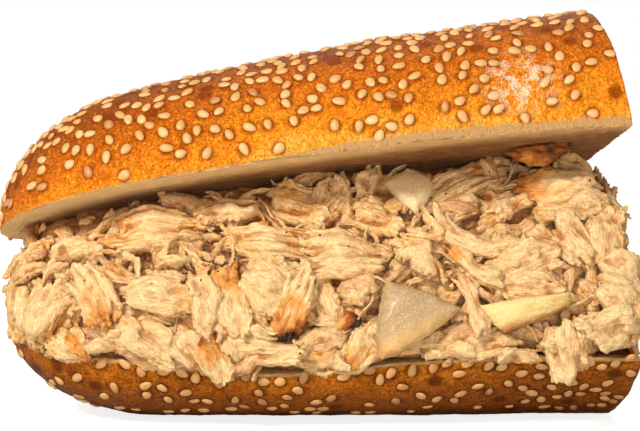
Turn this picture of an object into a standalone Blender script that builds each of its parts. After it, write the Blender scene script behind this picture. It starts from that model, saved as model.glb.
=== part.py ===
"""Half of a seeded submarine roll, cut open and filled with pulled chicken and pieces of onion.

X runs along the roll, from its rounded tip to the cut end. Y runs away from the open side, Z is up.
The origin is the middle of the flat spot that the bottom half rests on. Lengths are in metres.
"""

import math
import random
from collections import namedtuple

import bmesh
import bpy
from mathutils import Matrix, Vector, noise
from mathutils.bvhtree import BVHTree

MM = 0.001
QUARTER = math.pi / 2
SEED = 21

# Both halves of the roll: a rounded end, then a body that grows a little up to the cut end
TIP_X = -79 * MM
END_LENGTH = 40 * MM
CUT_X = 71 * MM
CUT_SKEW = -0.12
TAPER = 0.04
LOAF_SEGMENTS = 28
LOAF_RINGS = 24
FLAT_ANGLE = math.radians(1.5)
CRUST_WAVE = 0.5 * MM
CRUST_WAVE_SIZE = 22 * MM

# Bottom half: a shallow boat, cut low at the front and higher behind
BOTTOM_HALF_WIDTH = 36 * MM
FRONT_RIM = 18.2 * MM
RIM_SAG = 3.8 * MM
SAG_X = -12 * MM
SAG_REACH = 27 * MM
BACK_RISE = 12 * MM
RISE_MIDDLE_Y = -11 * MM
RISE_WIDTH = 34 * MM
BASE_SHARE = 1.05
BELLY_POWER = 1.0
CUT_BELLY_POWER = 1.9
BELLY_CHANGE_X = 15 * MM

# Top half: a dome with a flat cut face, leaning back on the filling and bowed along its length
TOP_HALF_WIDTH = 36 * MM
TOP_HEIGHT_TIP = 29 * MM
TOP_HEIGHT_CUT = 36 * MM
TOP_CENTRE = Vector((-2 * MM, 0, 57.8 * MM))
LEAN_BACK = math.radians(-12.5)
SLOPE_UP = math.radians(-7.4)
TOP_BOW = 0.6
DOME_POWER = 0.92

# Sesame seeds
SEED_LENGTH = 3.3 * MM
SEED_WIDTH = 2.4 * MM
SEED_THICKNESS = 1.6 * MM
SEED_SPACING = 12 * MM
SEED_TRIES = 900
SEED_CLEARANCE = 2.4 * MM
SEEDS_ON_END = 0.3
SEED_EDGE = 0.03
BOTTOM_SEED_BANDS = [(-0.93 * math.pi, -0.72 * math.pi), (-0.28 * math.pi, -0.07 * math.pi)]
TOP_SEED_BAND = (0.06 * math.pi, 0.94 * math.pi)

# The heap of chicken between the two cut faces
GAP = 0.35 * MM
HEAP_LEFT = -71 * MM
HEAP_RIGHT = 71.5 * MM
HEAP_END_SLOPE = 4 * MM
HEAP_TOP_LEFT_Y = -13 * MM
HEAP_TOP_RIGHT_Y = 0
HEAP_BACK_Y = 30 * MM
HEAP_BULGE = 2.0
HEAP_INSET = 0.4 * MM
HEAP_LUMP = 0.9 * MM
HEAP_LUMP_SIZE = 9 * MM
HEAP_CELLS = (18, 7, 5)
HEAP_SQUARENESS = 14
HEAP_OVERLAP = 2 * MM

# Torn pieces: thickness for a width of 1, how far they stand out, how blunt and how uneven they are
PIECE_THICKNESS = 0.75
PIECE_LIFT = 0.1
PIECE_BLUNTNESS = 0.7
PIECE_SQUARENESS = 0.45
PIECE_UNEVEN = (0.82, 1.12)
END_UNEVEN = (0.9, 1.08)

# Those over the back and both ends of the heap, where nothing shows how they lie
BACK_PIECES = 18
END_PIECES = 6
SIDE_LENGTHS = (11, 18)
SIDE_WIDTHS = (5, 8.5)
SIDE_BENDS = (-1, 1)
SIDE_HEIGHTS = (0.15, 0.85)
END_MARGIN = 4 * MM

Piece = namedtuple("Piece", "x z length width turn bend")

# The torn pieces that show from the open side, in millimetres and degrees: the middle of each as seen
# from the front, its length and width, the turn of its length from level, and how far it bends
FRONT_PIECES = [
    Piece(-71, 38, 17, 8, 12, 0),
    Piece(-71, 26, 14, 9, 80, 0),
    Piece(-62, 27, 17, 8, 65, 2),
    Piece(-56, 22, 9, 6, -20, 0),
    Piece(-52, 33, 19, 8, -68, 0),
    Piece(-41, 45, 24, 9, 6, 1),
    Piece(-33, 39, 13, 3, 8, -2),
    Piece(-39, 31, 19, 9, -8, 0),
    Piece(-40, 23, 14, 8, -28, 0),
    Piece(-30, 19, 12, 6, -42, 0),
    Piece(-47, 19, 12, 5, 4, 0),
    Piece(-27, 31, 24, 6, -80, 0),
    Piece(-21, 30, 16, 7, -72, 0),
    Piece(-24, 18.5, 12, 7, -72, 0),
    Piece(-18, 50, 20, 7, 4, 1),
    Piece(-4, 51, 17, 10, -20, 0),
    Piece(-9, 43, 22, 8, -6, 0),
    Piece(-12, 32, 15, 11, -58, 0),
    Piece(-5, 30, 17, 6, 66, 1),
    Piece(-12, 20, 22, 8, -8, 0),
    Piece(5, 40, 23, 11, -2, 0),
    Piece(9, 33, 12, 5, 15, 0),
    Piece(4, 27, 8, 4, 8, 0),
    Piece(10, 21, 12, 5, 52, 0),
    Piece(2, 22, 9, 6, 20, 0),
    Piece(7, 52, 14, 5, -82, 0),
    Piece(22, 40, 16, 8, -50, 3),
    Piece(14, 47, 14, 8, -22, 0),
    Piece(26, 45, 10, 3, -6, 0),
    Piece(35, 56, 24, 9, 24, 0),
    Piece(36, 45, 24, 5, -22, -3),
    Piece(46, 51, 16, 5, 30, 0),
    Piece(59, 53, 22, 11, -6, -1),
    Piece(37, 38, 18, 5, -40, -1),
    Piece(48, 39, 17, 8, 18, 1),
    Piece(60, 44, 14, 8, -58, 0),
    Piece(72, 38, 16, 7, -58, 0),
    Piece(70, 46, 17, 8, 78, 0),
    Piece(72, 32, 16, 9, -50, 0),
    Piece(69, 25, 15, 11, 20, 0),
    Piece(56, 20, 14, 10, -85, 0),
    Piece(35, 28, 18, 4, -80, 2),
    Piece(49, 33, 17, 6, -10, 0),
    Piece(38, 19, 14, 5, 5, 0),
]

Petal = namedtuple("Petal", "name x z thickness stand_off curve corners")
PETAL_BOW = 0.12
PETAL_REACH = 5 * MM

# Onion pieces, in millimetres: the middle as seen from the front, and four corners round it
PETALS = [
    Petal("onion_large", 23, 27, 4.2, 3.4, 1.6, [(-10, -8), (-5.5, -8.8), (10, 2.2), (-7.6, 8.8)]),
    Petal("onion_upper", 21.5, 55.6, 3.0, 1.2, 0.6, [(-6, 1.5), (1.5, -9), (6.5, 1), (0, 7)]),
    Petal("onion_slice", 47.5, 28.5, 3.2, 3.4, 1.2, [(-5, -5), (9.5, 0.8), (10.5, 4.5), (-10.7, 1.4)]),
]


def clear_scene():
    for obj in list(bpy.data.objects):
        bpy.data.objects.remove(obj, do_unlink=True)


def material(name, colour, roughness):
    """A plain finish that carries the colour of a sub-part."""
    made = bpy.data.materials.new(name)
    made.use_nodes = True
    shader = made.node_tree.nodes["Principled BSDF"]
    shader.inputs["Base Color"].default_value = (*colour, 1)
    shader.inputs["Roughness"].default_value = roughness
    shader.inputs["Metallic"].default_value = 0
    made.diffuse_color = (*colour, 1)
    return made


def new_object(name, bm, collection):
    """Puts a finished bmesh in a named object."""
    mesh = bpy.data.meshes.new(name)
    bm.to_mesh(mesh)
    bm.free()
    obj = bpy.data.objects.new(name, mesh)
    collection.objects.link(obj)
    return obj


def smooth_step(low, high, value):
    share = min(1.0, max(0.0, (value - low) / (high - low)))
    return share * share * (3 - 2 * share)


# Shape of the roll


def station(turn):
    """Place along the roll, share of full size and share of the body's length at an angle from the tip."""
    if turn <= QUARTER:
        return TIP_X + END_LENGTH * (1 - math.cos(turn)), math.sin(turn), 0.0
    body = min(1.0, (turn - QUARTER) / (QUARTER - math.pi / LOAF_RINGS))
    start = TIP_X + END_LENGTH
    return start + (CUT_X - start) * body, 1.0, body


def crust_wave(x, y, z):
    """Slow unevenness of the baked surface."""
    return CRUST_WAVE * noise.noise(Vector((x, y, z)) / CRUST_WAVE_SIZE)


def cut_face_height(x, y):
    """Height of the bottom half's cut face."""
    back = smooth_step(RISE_MIDDLE_Y - RISE_WIDTH / 2, RISE_MIDDLE_Y + RISE_WIDTH / 2, y)
    sag = RIM_SAG * math.exp(-(((x - SAG_X) / SAG_REACH) ** 2))
    return FRONT_RIM - sag + (BACK_RISE + sag) * back


def bottom_point(turn, around, grow=0.0):
    """Point of the bottom half. around goes from the back rim over the cut face to the front rim and under."""
    x, share, body = station(turn)
    half_width = BOTTOM_HALF_WIDTH * (1 - TAPER * (1 - body))
    y = half_width * share * math.cos(around)
    face = cut_face_height(x, y)
    up = math.sin(around)
    z = face
    if up < 0:
        change = smooth_step(BELLY_CHANGE_X, CUT_X, x)
        power = BELLY_POWER + (CUT_BELLY_POWER - BELLY_POWER) * change
        depth = min(1.0, BASE_SHARE * share * abs(up) ** power)
        z = face * (1 - depth)
        if depth < 1:
            y += crust_wave(x, y, z) * math.cos(around)
    x += CUT_SKEW * y * body
    return grown(Vector((x, y, z)), Vector((share_sign(turn), math.cos(around), up)), grow)


def top_point(turn, around, grow=0.0):
    """Point of the top half in its own frame, where the cut face is level with z = 0."""
    x, share, body = station(turn)
    half_width = TOP_HALF_WIDTH * (1 - TAPER * (1 - body))
    y = half_width * share * math.cos(around)
    height = TOP_HEIGHT_TIP + (TOP_HEIGHT_CUT - TOP_HEIGHT_TIP) * body
    up = math.sin(around)
    z = 0.0
    if up > 0:
        z = height * share * up**DOME_POWER
        wave = crust_wave(x, y, z)
        y += wave * math.cos(around)
        z += wave * up
    z -= TOP_BOW * x * x
    x += CUT_SKEW * y * body
    return grown(Vector((x, y, z)), Vector((share_sign(turn), math.cos(around), up)), grow)


def share_sign(turn):
    """Which way a ring faces along the roll: towards the tip, or out of the cut end."""
    if turn < QUARTER:
        return -math.cos(turn)
    return 1.0 if turn > math.pi * (1 - 1 / LOAF_RINGS) - 1e-6 else 0.0


def grown(point, outward, grow):
    """The point moved outwards, for a cutter that leaves a gap round its piece."""
    return point + outward * grow


def loaf_half(name, point_at, collection, grow=0.0):
    """A half of the roll: a sphere with its poles along the roll, drawn out to the half's shape."""
    bm = bmesh.new()
    bmesh.ops.create_uvsphere(bm, u_segments=LOAF_SEGMENTS, v_segments=LOAF_RINGS, radius=1)
    for vert in bm.verts:
        turn = math.acos(max(-1.0, min(1.0, -vert.co.z)))
        around = math.atan2(vert.co.y, vert.co.x)
        vert.co = point_at(turn, around, grow)
    bmesh.ops.dissolve_limit(bm, angle_limit=FLAT_ANGLE, verts=bm.verts, edges=bm.edges)
    bmesh.ops.triangulate(bm, faces=bm.faces)
    return new_object(name, bm, collection)


def top_frame():
    """Where the top half lies: leaning back, and rising to the cut end."""
    turn = Matrix.Rotation(SLOPE_UP, 4, "Y") @ Matrix.Rotation(LEAN_BACK, 4, "X")
    return Matrix.Translation(TOP_CENTRE) @ turn


def underside_height(x, y):
    """Height of the top half's cut face above a place on the table."""
    frame = top_frame()
    local = Vector((x, y, 0))
    for _ in range(4):
        found = frame @ Vector((local.x, local.y, -TOP_BOW * local.x**2))
        local += Vector((x - found.x, y - found.y, 0))
    return found.z


# Seeds


def crust_seeds(point_at, band, draw, keep_off=None):
    """Places for seeds, spread evenly over a band of the crust: middle, outward and lengthwise."""
    placed = []
    for _ in range(SEED_TRIES):
        turn = draw.uniform(QUARTER, math.pi)
        if draw.random() < SEEDS_ON_END:
            turn = math.acos(1 - 2 * draw.random())
        turn = min(turn, math.pi * (1 - 1 / LOAF_RINGS) - SEED_EDGE)
        around = draw.uniform(*band)
        middle = point_at(turn, around)
        if any((middle - other[0]).length < SEED_SPACING for other in placed):
            continue
        if keep_off and keep_off.find_nearest(middle)[3] < SEED_CLEARANCE:
            continue
        step = 0.02
        along = point_at(turn + step, around) - point_at(turn - step, around)
        over = point_at(turn, around + step) - point_at(turn, around - step)
        outward = over.cross(along).normalized()
        spin = Matrix.Rotation(draw.uniform(0, math.pi), 3, outward)
        placed.append((middle, outward, spin @ along.normalized()))
    return placed


def seed_object(number, place, collection):
    """One seed, a faceted drop half sunk in the crust."""
    middle, outward, along = place
    bm = bmesh.new()
    bmesh.ops.create_icosphere(bm, subdivisions=1, radius=0.5)
    across = outward.cross(along)
    turn = Matrix((along, across, outward)).transposed()
    for vert in bm.verts:
        size = Vector((vert.co.x * SEED_LENGTH, vert.co.y * SEED_WIDTH, vert.co.z * SEED_THICKNESS))
        vert.co = middle + turn @ size
    return new_object(f"seed_{number}", bm, collection)


def fuse(obj, others, operation="UNION", solver="MANIFOLD"):
    """Joins a collection of shapes to the object, or cuts them from it, and removes them."""
    joint = obj.modifiers.new("fuse", "BOOLEAN")
    joint.operand_type = "COLLECTION"
    joint.collection = others
    joint.operation = operation
    joint.solver = solver
    graph = bpy.context.evaluated_depsgraph_get()
    mesh = bpy.data.meshes.new_from_object(obj.evaluated_get(graph))
    obj.modifiers.clear()
    obj.data = mesh
    for other in list(others.objects):
        bpy.data.objects.remove(other, do_unlink=True)


def hidden_collection(name):
    """A collection for shapes that are joined or cut, and aren't parts themselves."""
    made = bpy.data.collections.new(name)
    bpy.context.scene.collection.children.link(made)
    return made


def keep_largest_body(obj):
    """Drops the loose scraps that cutting leaves."""
    bm = bmesh.new()
    bm.from_mesh(obj.data)
    left = set(bm.verts)
    bodies = []
    while left:
        body = set()
        reach = [left.pop()]
        while reach:
            vert = reach.pop()
            body.add(vert)
            for edge in vert.link_edges:
                other = edge.other_vert(vert)
                if other in left:
                    left.remove(other)
                    reach.append(other)
        bodies.append(body)
    bodies.sort(key=len)
    scraps = [vert for body in bodies[:-1] for vert in body]
    bmesh.ops.delete(bm, geom=scraps, context="VERTS")
    bm.to_mesh(obj.data)
    bm.free()


# The heap


def plan_share(x):
    """Share of the roll's full width at a place along it."""
    if x >= TIP_X + END_LENGTH:
        return 1.0
    off = (TIP_X + END_LENGTH - x) / END_LENGTH
    return math.sqrt(max(0.02, 1 - off * off))


def heap_front(x, share_up):
    """How far forward the heap's face is, from the bottom rim, 0, up to the top half, 1."""
    top_y = HEAP_TOP_LEFT_Y + (HEAP_TOP_RIGHT_Y - HEAP_TOP_LEFT_Y) * smooth_step(HEAP_LEFT, HEAP_RIGHT, x)
    low_y = -BOTTOM_HALF_WIDTH
    return (low_y + (top_y - low_y) * max(0.0, share_up) ** HEAP_BULGE) * plan_share(x)


def share_of_height(x, y, z):
    low = cut_face_height(x, y)
    return (z - low) / (underside_height(x, y) - low)


def face_point(x, z):
    """The place on the heap's face at a height, and the way the face looks out."""
    y = heap_front(x, 0.3)
    for _ in range(6):
        y = heap_front(x, share_of_height(x, y, z))
    step = MM
    above = heap_front(x, share_of_height(x, y, z + step))
    beside = heap_front(x + step, share_of_height(x + step, y, z))
    up = Vector((0, above - y, step))
    aside = Vector((step, beside - y, 0))
    return Vector((x, y, z)), aside.cross(up).normalized()


def skew_with_cut(x, y):
    """How far a place near the cut end moves along the roll, as the cut isn't quite square."""
    start = TIP_X + END_LENGTH
    return CUT_SKEW * y * min(1.0, max(0.0, (x - start) / (CUT_X - start)))


def heap_core(collection):
    """The inside of the heap: a rounded block, drawn out to fill the space between the two cut faces."""
    bm = bmesh.new()
    bmesh.ops.create_cube(bm, size=2)
    for axis, cells in enumerate(HEAP_CELLS):
        edges = [edge for edge in bm.edges if abs((edge.verts[0].co - edge.verts[1].co)[axis]) > 1.5]
        bmesh.ops.subdivide_edges(bm, edges=edges, cuts=cells - 1, use_grid_fill=True)
    for vert in bm.verts:
        square = sum(abs(c) ** HEAP_SQUARENESS for c in vert.co) ** (1 / HEAP_SQUARENESS)
        box = vert.co / square
        up = (box.z + 1) / 2
        x = HEAP_LEFT + (HEAP_RIGHT - HEAP_END_SLOPE * up - HEAP_LEFT) * (box.x + 1) / 2
        back = (box.y + 1) / 2
        front_y = heap_front(x, up) + HEAP_INSET
        y = front_y + (HEAP_BACK_Y * plan_share(x) - front_y) * back
        low = cut_face_height(x, y) - HEAP_OVERLAP
        high = underside_height(x, y) + HEAP_OVERLAP
        z = low + (high - low) * up
        lump = noise.noise(Vector((x, y, z)) / HEAP_LUMP_SIZE) * HEAP_LUMP
        vert.co = Vector((x + skew_with_cut(x, y), y, z)) + box.normalized() * lump
    return new_object("chicken", bm, collection)


def torn_piece(name, middle, along, outward, piece, collection, draw):
    """One torn piece of meat: a blunt, uneven block that may bend, lying with its flat side on the heap."""
    length, width = piece.length * MM, piece.width * MM
    thin = width * PIECE_THICKNESS
    across = outward.cross(along).normalized()
    along = across.cross(outward).normalized()
    bm = bmesh.new()
    bmesh.ops.create_uvsphere(bm, u_segments=6, v_segments=5, radius=1)
    for vert in bm.verts:
        lengthwise = math.copysign(abs(vert.co.z) ** PIECE_BLUNTNESS, vert.co.z)
        radius = math.hypot(vert.co.x, vert.co.y)
        swell = radius ** (PIECE_SQUARENESS - 1) * draw.uniform(*PIECE_UNEVEN) if radius > 0.01 else 0
        sideways = vert.co.x * swell * width / 2 + piece.bend * MM * (1 - 2 * lengthwise**2)
        vert.co = (
            middle
            + along * lengthwise * draw.uniform(*END_UNEVEN) * length / 2
            + across * sideways
            + outward * vert.co.y * swell * thin / 2
        )
    return new_object(name, bm, collection)


def front_pieces(core, collection, draw):
    """The pieces that show from the open side, each half sunk in the core."""
    for number, piece in enumerate(FRONT_PIECES):
        middle, outward = face_point(piece.x * MM, piece.z * MM)
        middle = core.find_nearest(middle)[0]
        turn = math.radians(piece.turn)
        level = Vector((1, 0, 0))
        upward = outward.cross(level)
        along = level * math.cos(turn) + upward * math.sin(turn)
        middle += outward * piece.width * MM * PIECE_LIFT
        torn_piece(f"front_{number}", middle, along, outward, piece, collection, draw)


def side_piece(name, x, y, outward, collection, draw):
    """A piece at a random height and turn over a place where the heap faces outward."""
    low, high = cut_face_height(x, y), underside_height(x, y)
    up = draw.uniform(*SIDE_HEIGHTS)
    slope = HEAP_END_SLOPE * up if outward.x > 0 else 0
    middle = Vector((x + skew_with_cut(x, y) - slope, y, low + (high - low) * up))
    turn = draw.uniform(0, math.pi)
    level = outward.cross(Vector((0, 0, 1)))
    along = level * math.cos(turn) + Vector((0, 0, 1)) * math.sin(turn)
    piece = Piece(0, 0, draw.uniform(*SIDE_LENGTHS), draw.uniform(*SIDE_WIDTHS), 0, draw.uniform(*SIDE_BENDS))
    torn_piece(name, middle, along, outward, piece, collection, draw)


def hidden_side_pieces(collection, draw):
    """Pieces over the back and both ends of the heap, by the same rule as those in front."""
    for number in range(BACK_PIECES):
        x = HEAP_LEFT + (HEAP_RIGHT - HEAP_LEFT) * (number + draw.random()) / BACK_PIECES
        side_piece(f"back_{number}", x, HEAP_BACK_Y * plan_share(x), Vector((0, 1, 0)), collection, draw)
    for side, x in ((-1, HEAP_LEFT), (1, HEAP_RIGHT)):
        reach = (HEAP_BACK_Y - END_MARGIN) * plan_share(x)
        for number in range(END_PIECES):
            y = -reach + 2 * reach * (number + 0.5) / END_PIECES
            side_piece(f"end_{side}_{number}", x, y, Vector((side, 0, 0)), collection, draw)


def onion_petal(petal, collection, name, grow=0.0):
    """A piece of onion: a flat block drawn out to four corners and cupped like the layer it came from."""
    middle, outward = face_point(petal.x * MM, petal.z * MM)
    level = Vector((1, 0, 0))
    upward = outward.cross(level).normalized()
    aside = upward.cross(outward)
    bm = bmesh.new()
    bmesh.ops.create_cube(bm, size=2)
    bmesh.ops.subdivide_edges(bm, edges=bm.edges, cuts=2, use_grid_fill=True)
    corners = [Vector(corner) * MM for corner in petal.corners]
    growth = 1 + grow / PETAL_REACH
    for vert in bm.verts:
        right, high = (vert.co.x + 1) / 2, (vert.co.y + 1) / 2
        low_edge = corners[0].lerp(corners[1], right)
        high_edge = corners[3].lerp(corners[2], right)
        bow = PETAL_BOW * max(abs(vert.co.x), abs(vert.co.y)) ** 2 * (1 - abs(vert.co.x * vert.co.y))
        flat = low_edge.lerp(high_edge, high) * growth * (1 + bow)
        cup = petal.curve * MM * (1 - vert.co.x**2) * (1 - 0.5 * vert.co.y**2)
        rounding = 1 - 0.25 * max(abs(vert.co.x), abs(vert.co.y)) ** 4
        rise = vert.co.z * (petal.thickness * MM / 2 * rounding + grow) + cup
        vert.co = middle + aside * flat.x + upward * flat.y + outward * (petal.stand_off * MM + rise)
    return new_object(name, bm, collection)


def build():
    clear_scene()
    draw = random.Random(SEED)
    sandwich = hidden_collection("submarine_sandwich")
    cutters = hidden_collection("cutters")
    scraps = hidden_collection("joined")
    frame = top_frame()

    chicken = heap_core(sandwich)
    core = BVHTree.FromObject(chicken, bpy.context.evaluated_depsgraph_get())
    front_pieces(core, scraps, draw)
    hidden_side_pieces(scraps, draw)
    fuse(chicken, scraps)
    loaf_half("bottom_cutter", bottom_point, cutters, GAP)
    top_cutter = loaf_half("top_cutter", top_point, cutters, GAP)
    top_cutter.data.transform(frame)
    for petal in PETALS:
        onion_petal(petal, cutters, f"{petal.name}_cutter", GAP)
    fuse(chicken, cutters, "DIFFERENCE")
    keep_largest_body(chicken)
    chicken.data.materials.append(material("chicken", (0.72, 0.5, 0.28), 0.5))

    onion = material("onion", (0.62, 0.52, 0.3), 0.25)
    for petal in PETALS:
        made = onion_petal(petal, sandwich, petal.name)
        made.data.materials.append(onion)

    crust = material("crust", (0.62, 0.25, 0.06), 0.4)
    graph = bpy.context.evaluated_depsgraph_get()
    heap = BVHTree.FromObject(chicken, graph)
    bottom = loaf_half("bun_bottom", bottom_point, sandwich)
    for band in BOTTOM_SEED_BANDS:
        for number, place in enumerate(crust_seeds(bottom_point, band, draw, heap)):
            seed_object(number, place, scraps)
    fuse(bottom, scraps)
    bottom.data.materials.append(crust)

    top = loaf_half("bun_top", top_point, sandwich)
    for number, place in enumerate(crust_seeds(top_point, TOP_SEED_BAND, draw)):
        seed_object(number, place, scraps)
    fuse(top, scraps)
    top.data.materials.append(crust)
    top.matrix_world = frame

    for spare in (cutters, scraps):
        bpy.data.collections.remove(spare)


build()
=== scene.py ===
"""Looks of the submarine sandwich: half of a seeded roll, filled with pulled chicken and pieces of onion.

X runs along the roll to its cut end, Y away from the open side, Z up. Lengths are in metres.
"""

import math
import random
from collections import namedtuple

import bmesh
import bpy
import numpy as np
from mathutils import Matrix, Vector, noise
from mathutils.bvhtree import BVHTree


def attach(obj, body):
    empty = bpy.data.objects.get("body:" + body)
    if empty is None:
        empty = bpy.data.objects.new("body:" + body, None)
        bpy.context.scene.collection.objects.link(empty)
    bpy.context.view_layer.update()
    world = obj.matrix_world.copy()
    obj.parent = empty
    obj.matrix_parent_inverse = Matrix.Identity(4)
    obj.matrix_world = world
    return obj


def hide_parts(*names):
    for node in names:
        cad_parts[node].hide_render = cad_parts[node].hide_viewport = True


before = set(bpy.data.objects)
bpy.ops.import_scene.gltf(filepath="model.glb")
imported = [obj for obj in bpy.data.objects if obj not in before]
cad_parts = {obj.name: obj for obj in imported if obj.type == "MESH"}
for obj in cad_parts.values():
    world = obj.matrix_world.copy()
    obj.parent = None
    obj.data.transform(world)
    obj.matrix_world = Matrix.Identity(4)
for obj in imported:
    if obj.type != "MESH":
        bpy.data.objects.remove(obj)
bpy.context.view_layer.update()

# The stage
#
# A plain pale floor, a bright room and three soft lights. The camera stands low and close in front of the
# open side, as in the photo.

MM = 0.001
CAMERA_REACH = 420 * MM
CAMERA_AIM = Vector((0, 0, 49 * MM))
CAMERA_RISE = math.radians(4)
CAMERA_LENS = 93.4
FLOOR_SIZE = 6.0
ROOM_LIGHT = 0.37
BACKDROP_LIGHT = 1.0
WARM_ROOM = (1.0, 0.92, 0.80, 1)
PLAIN_WHITE = (1, 1, 1, 1)
FLOOR_GLOW = 0.80
FLOOR_COLOUR = (0.66, 0.66, 0.66, 1)
FLOOR_ROUGHNESS = 0.7
LIGHTS = [
    # name, place, size, watts, colour
    ("key_light", (-0.40, -0.60, 0.55), 0.20, 6.9, (1.0, 0.98, 0.95)),
    ("fill_light", (0.02, -0.74, 0.08), 0.22, 1.9, (1.0, 0.97, 0.93)),
    ("back_light", (0.10, 0.60, 0.55), 0.60, 1.0, (1.0, 0.92, 0.82)),
]

bpy.ops.object.select_all(action="DESELECT")
bpy.ops.mesh.primitive_plane_add(size=FLOOR_SIZE, location=(0, 0, 0))
floor = bpy.context.object
floor.name = "floor"
bpy.ops.object.transform_apply(location=True, rotation=True, scale=True)
paint = bpy.data.materials.new("pale_floor")
paint.use_nodes = True
paint_shader = paint.node_tree.nodes["Principled BSDF"]
paint_shader.inputs["Base Color"].default_value = FLOOR_COLOUR
paint_shader.inputs["Roughness"].default_value = FLOOR_ROUGHNESS
paint_shader.inputs["Emission Color"].default_value = PLAIN_WHITE
floor_seen = paint.node_tree.nodes.new("ShaderNodeLightPath")
glow = paint.node_tree.nodes.new("ShaderNodeMath")
glow.operation = "MULTIPLY"
glow.inputs[1].default_value = FLOOR_GLOW
paint.node_tree.links.new(floor_seen.outputs["Is Camera Ray"], glow.inputs[0])
paint.node_tree.links.new(glow.outputs[0], paint_shader.inputs["Emission Strength"])
floor.data.materials.append(paint)

world = bpy.data.worlds.new("bright_room")
bpy.context.scene.world = world
world.use_nodes = True
room = world.node_tree.nodes["Background"]
seen = world.node_tree.nodes.new("ShaderNodeLightPath")
warmth = world.node_tree.nodes.new("ShaderNodeMix")
warmth.data_type = "RGBA"
warmth.inputs[6].default_value = WARM_ROOM
warmth.inputs[7].default_value = PLAIN_WHITE
world.node_tree.links.new(seen.outputs["Is Camera Ray"], warmth.inputs[0])
world.node_tree.links.new(warmth.outputs[2], room.inputs["Color"])
brightness = world.node_tree.nodes.new("ShaderNodeMapRange")
brightness.inputs["To Min"].default_value = ROOM_LIGHT
brightness.inputs["To Max"].default_value = BACKDROP_LIGHT
world.node_tree.links.new(seen.outputs["Is Camera Ray"], brightness.inputs["Value"])
world.node_tree.links.new(brightness.outputs["Result"], room.inputs["Strength"])

for name, place, size, watts, colour in LIGHTS:
    bpy.ops.object.light_add(type="AREA", location=place)
    light = bpy.context.object
    light.name = name
    light.data.shape = "DISK"
    light.data.size = size
    light.data.energy = watts
    light.data.color = colour
    light.rotation_euler = (CAMERA_AIM - Vector(place)).to_track_quat("-Z", "Y").to_euler()

eye = CAMERA_AIM + CAMERA_REACH * Vector((0, -math.cos(CAMERA_RISE), math.sin(CAMERA_RISE)))
bpy.ops.object.camera_add(location=eye)
camera = bpy.context.object
camera.rotation_euler = (CAMERA_AIM - eye).to_track_quat("-Z", "Y").to_euler()
camera.data.lens = CAMERA_LENS
camera.data.clip_start = 0.01
bpy.context.scene.camera = camera
bpy.context.scene.view_settings.view_transform = "Standard"


# Bottom half of the roll
#
# The lower part of a soft baked roll, slit along its side and opened. A thin glazed crust closes a pale
# crumb, and it is cut low along the front so that the filling shows.

TIP_X = -79 * MM
END_LENGTH = 40 * MM
CUT_X = 71 * MM
CUT_SKEW = -0.12
TAPER = 0.04
CRUST_WAVE = 0.5 * MM
CRUST_WAVE_SIZE = 22 * MM
BOTTOM_HALF_WIDTH = 36 * MM
FRONT_RIM = 18.2 * MM
RIM_SAG = 3.8 * MM
SAG_X = -12 * MM
SAG_REACH = 27 * MM
BACK_RISE = 12 * MM
RISE_MIDDLE_Y = -11 * MM
RISE_WIDTH = 34 * MM
BASE_SHARE = 1.05
BELLY_POWER = 1.0
CUT_BELLY_POWER = 1.9
BELLY_CHANGE_X = 15 * MM

LOAF_SEGMENTS = 300
CRUST_SEGMENTS = 198
LOAF_RINGS = 276
END_RINGS = 65
CUT_RINGS = 26
QUARTER = math.pi / 2
END_CRUMB_DEPTH = 2.5 * MM
END_RISE = 8
RIM_SLACK = 1e-6
LEAST_DEPTH = 1e-7
WELD_REACH = 0.002 * MM

# Relief of both halves: its name, how wide its waves are, how high they are and where it lies
SKIN_RELIEF = [
    ("dents", 7 * MM, 0.5 * MM, "crust"),
    ("wrinkles", 1.5 * MM, 0.24 * MM, "crust"),
    ("pores", 1.6 * MM, 0.55 * MM, "crumb"),
]


def smooth_step(low, high, value):
    share = min(1.0, max(0.0, (value - low) / (high - low)))
    return share * share * (3 - 2 * share)


def station(ring):
    """Place along the roll, and shares of full size, of the body's length and of the way into the cut."""
    if ring <= END_RINGS:
        turn = QUARTER * ring / END_RINGS
        return TIP_X + END_LENGTH * (1 - math.cos(turn)), math.sin(turn), 0.0, 0.0
    body = (ring - END_RINGS) / (LOAF_RINGS - CUT_RINGS - END_RINGS)
    start = TIP_X + END_LENGTH
    if body <= 1:
        return start + (CUT_X - start) * body, 1.0, body, 0.0
    return CUT_X, 1.0, 1.0, (ring - LOAF_RINGS + CUT_RINGS) / CUT_RINGS


def crust_wave(x, y, z):
    """Slow unevenness of the baked surface."""
    return CRUST_WAVE * noise.noise(Vector((x, y, z)) / CRUST_WAVE_SIZE)


def cut_face_height(x, y):
    """Height of the bottom half's cut face."""
    back = smooth_step(RISE_MIDDLE_Y - RISE_WIDTH / 2, RISE_MIDDLE_Y + RISE_WIDTH / 2, y)
    sag = RIM_SAG * math.exp(-(((x - SAG_X) / SAG_REACH) ** 2))
    return FRONT_RIM - sag + (BACK_RISE + sag) * back


def bottom_point(x, share, body, around):
    """Point of the bottom half's skin. around is negative under it and positive over its cut face."""
    y = BOTTOM_HALF_WIDTH * (1 - TAPER * (1 - body)) * share * math.cos(around)
    face = cut_face_height(x, y)
    up = math.sin(around)
    z = face
    if up < 0:
        change = smooth_step(BELLY_CHANGE_X, CUT_X, x)
        power = BELLY_POWER + (CUT_BELLY_POWER - BELLY_POWER) * change
        depth = min(1.0, BASE_SHARE * share * abs(up) ** power)
        z = face * (1 - depth)
        if depth < 1:
            y += crust_wave(x, y, z) * math.cos(around)
    return Vector((x + CUT_SKEW * y * body, y, z))


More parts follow.
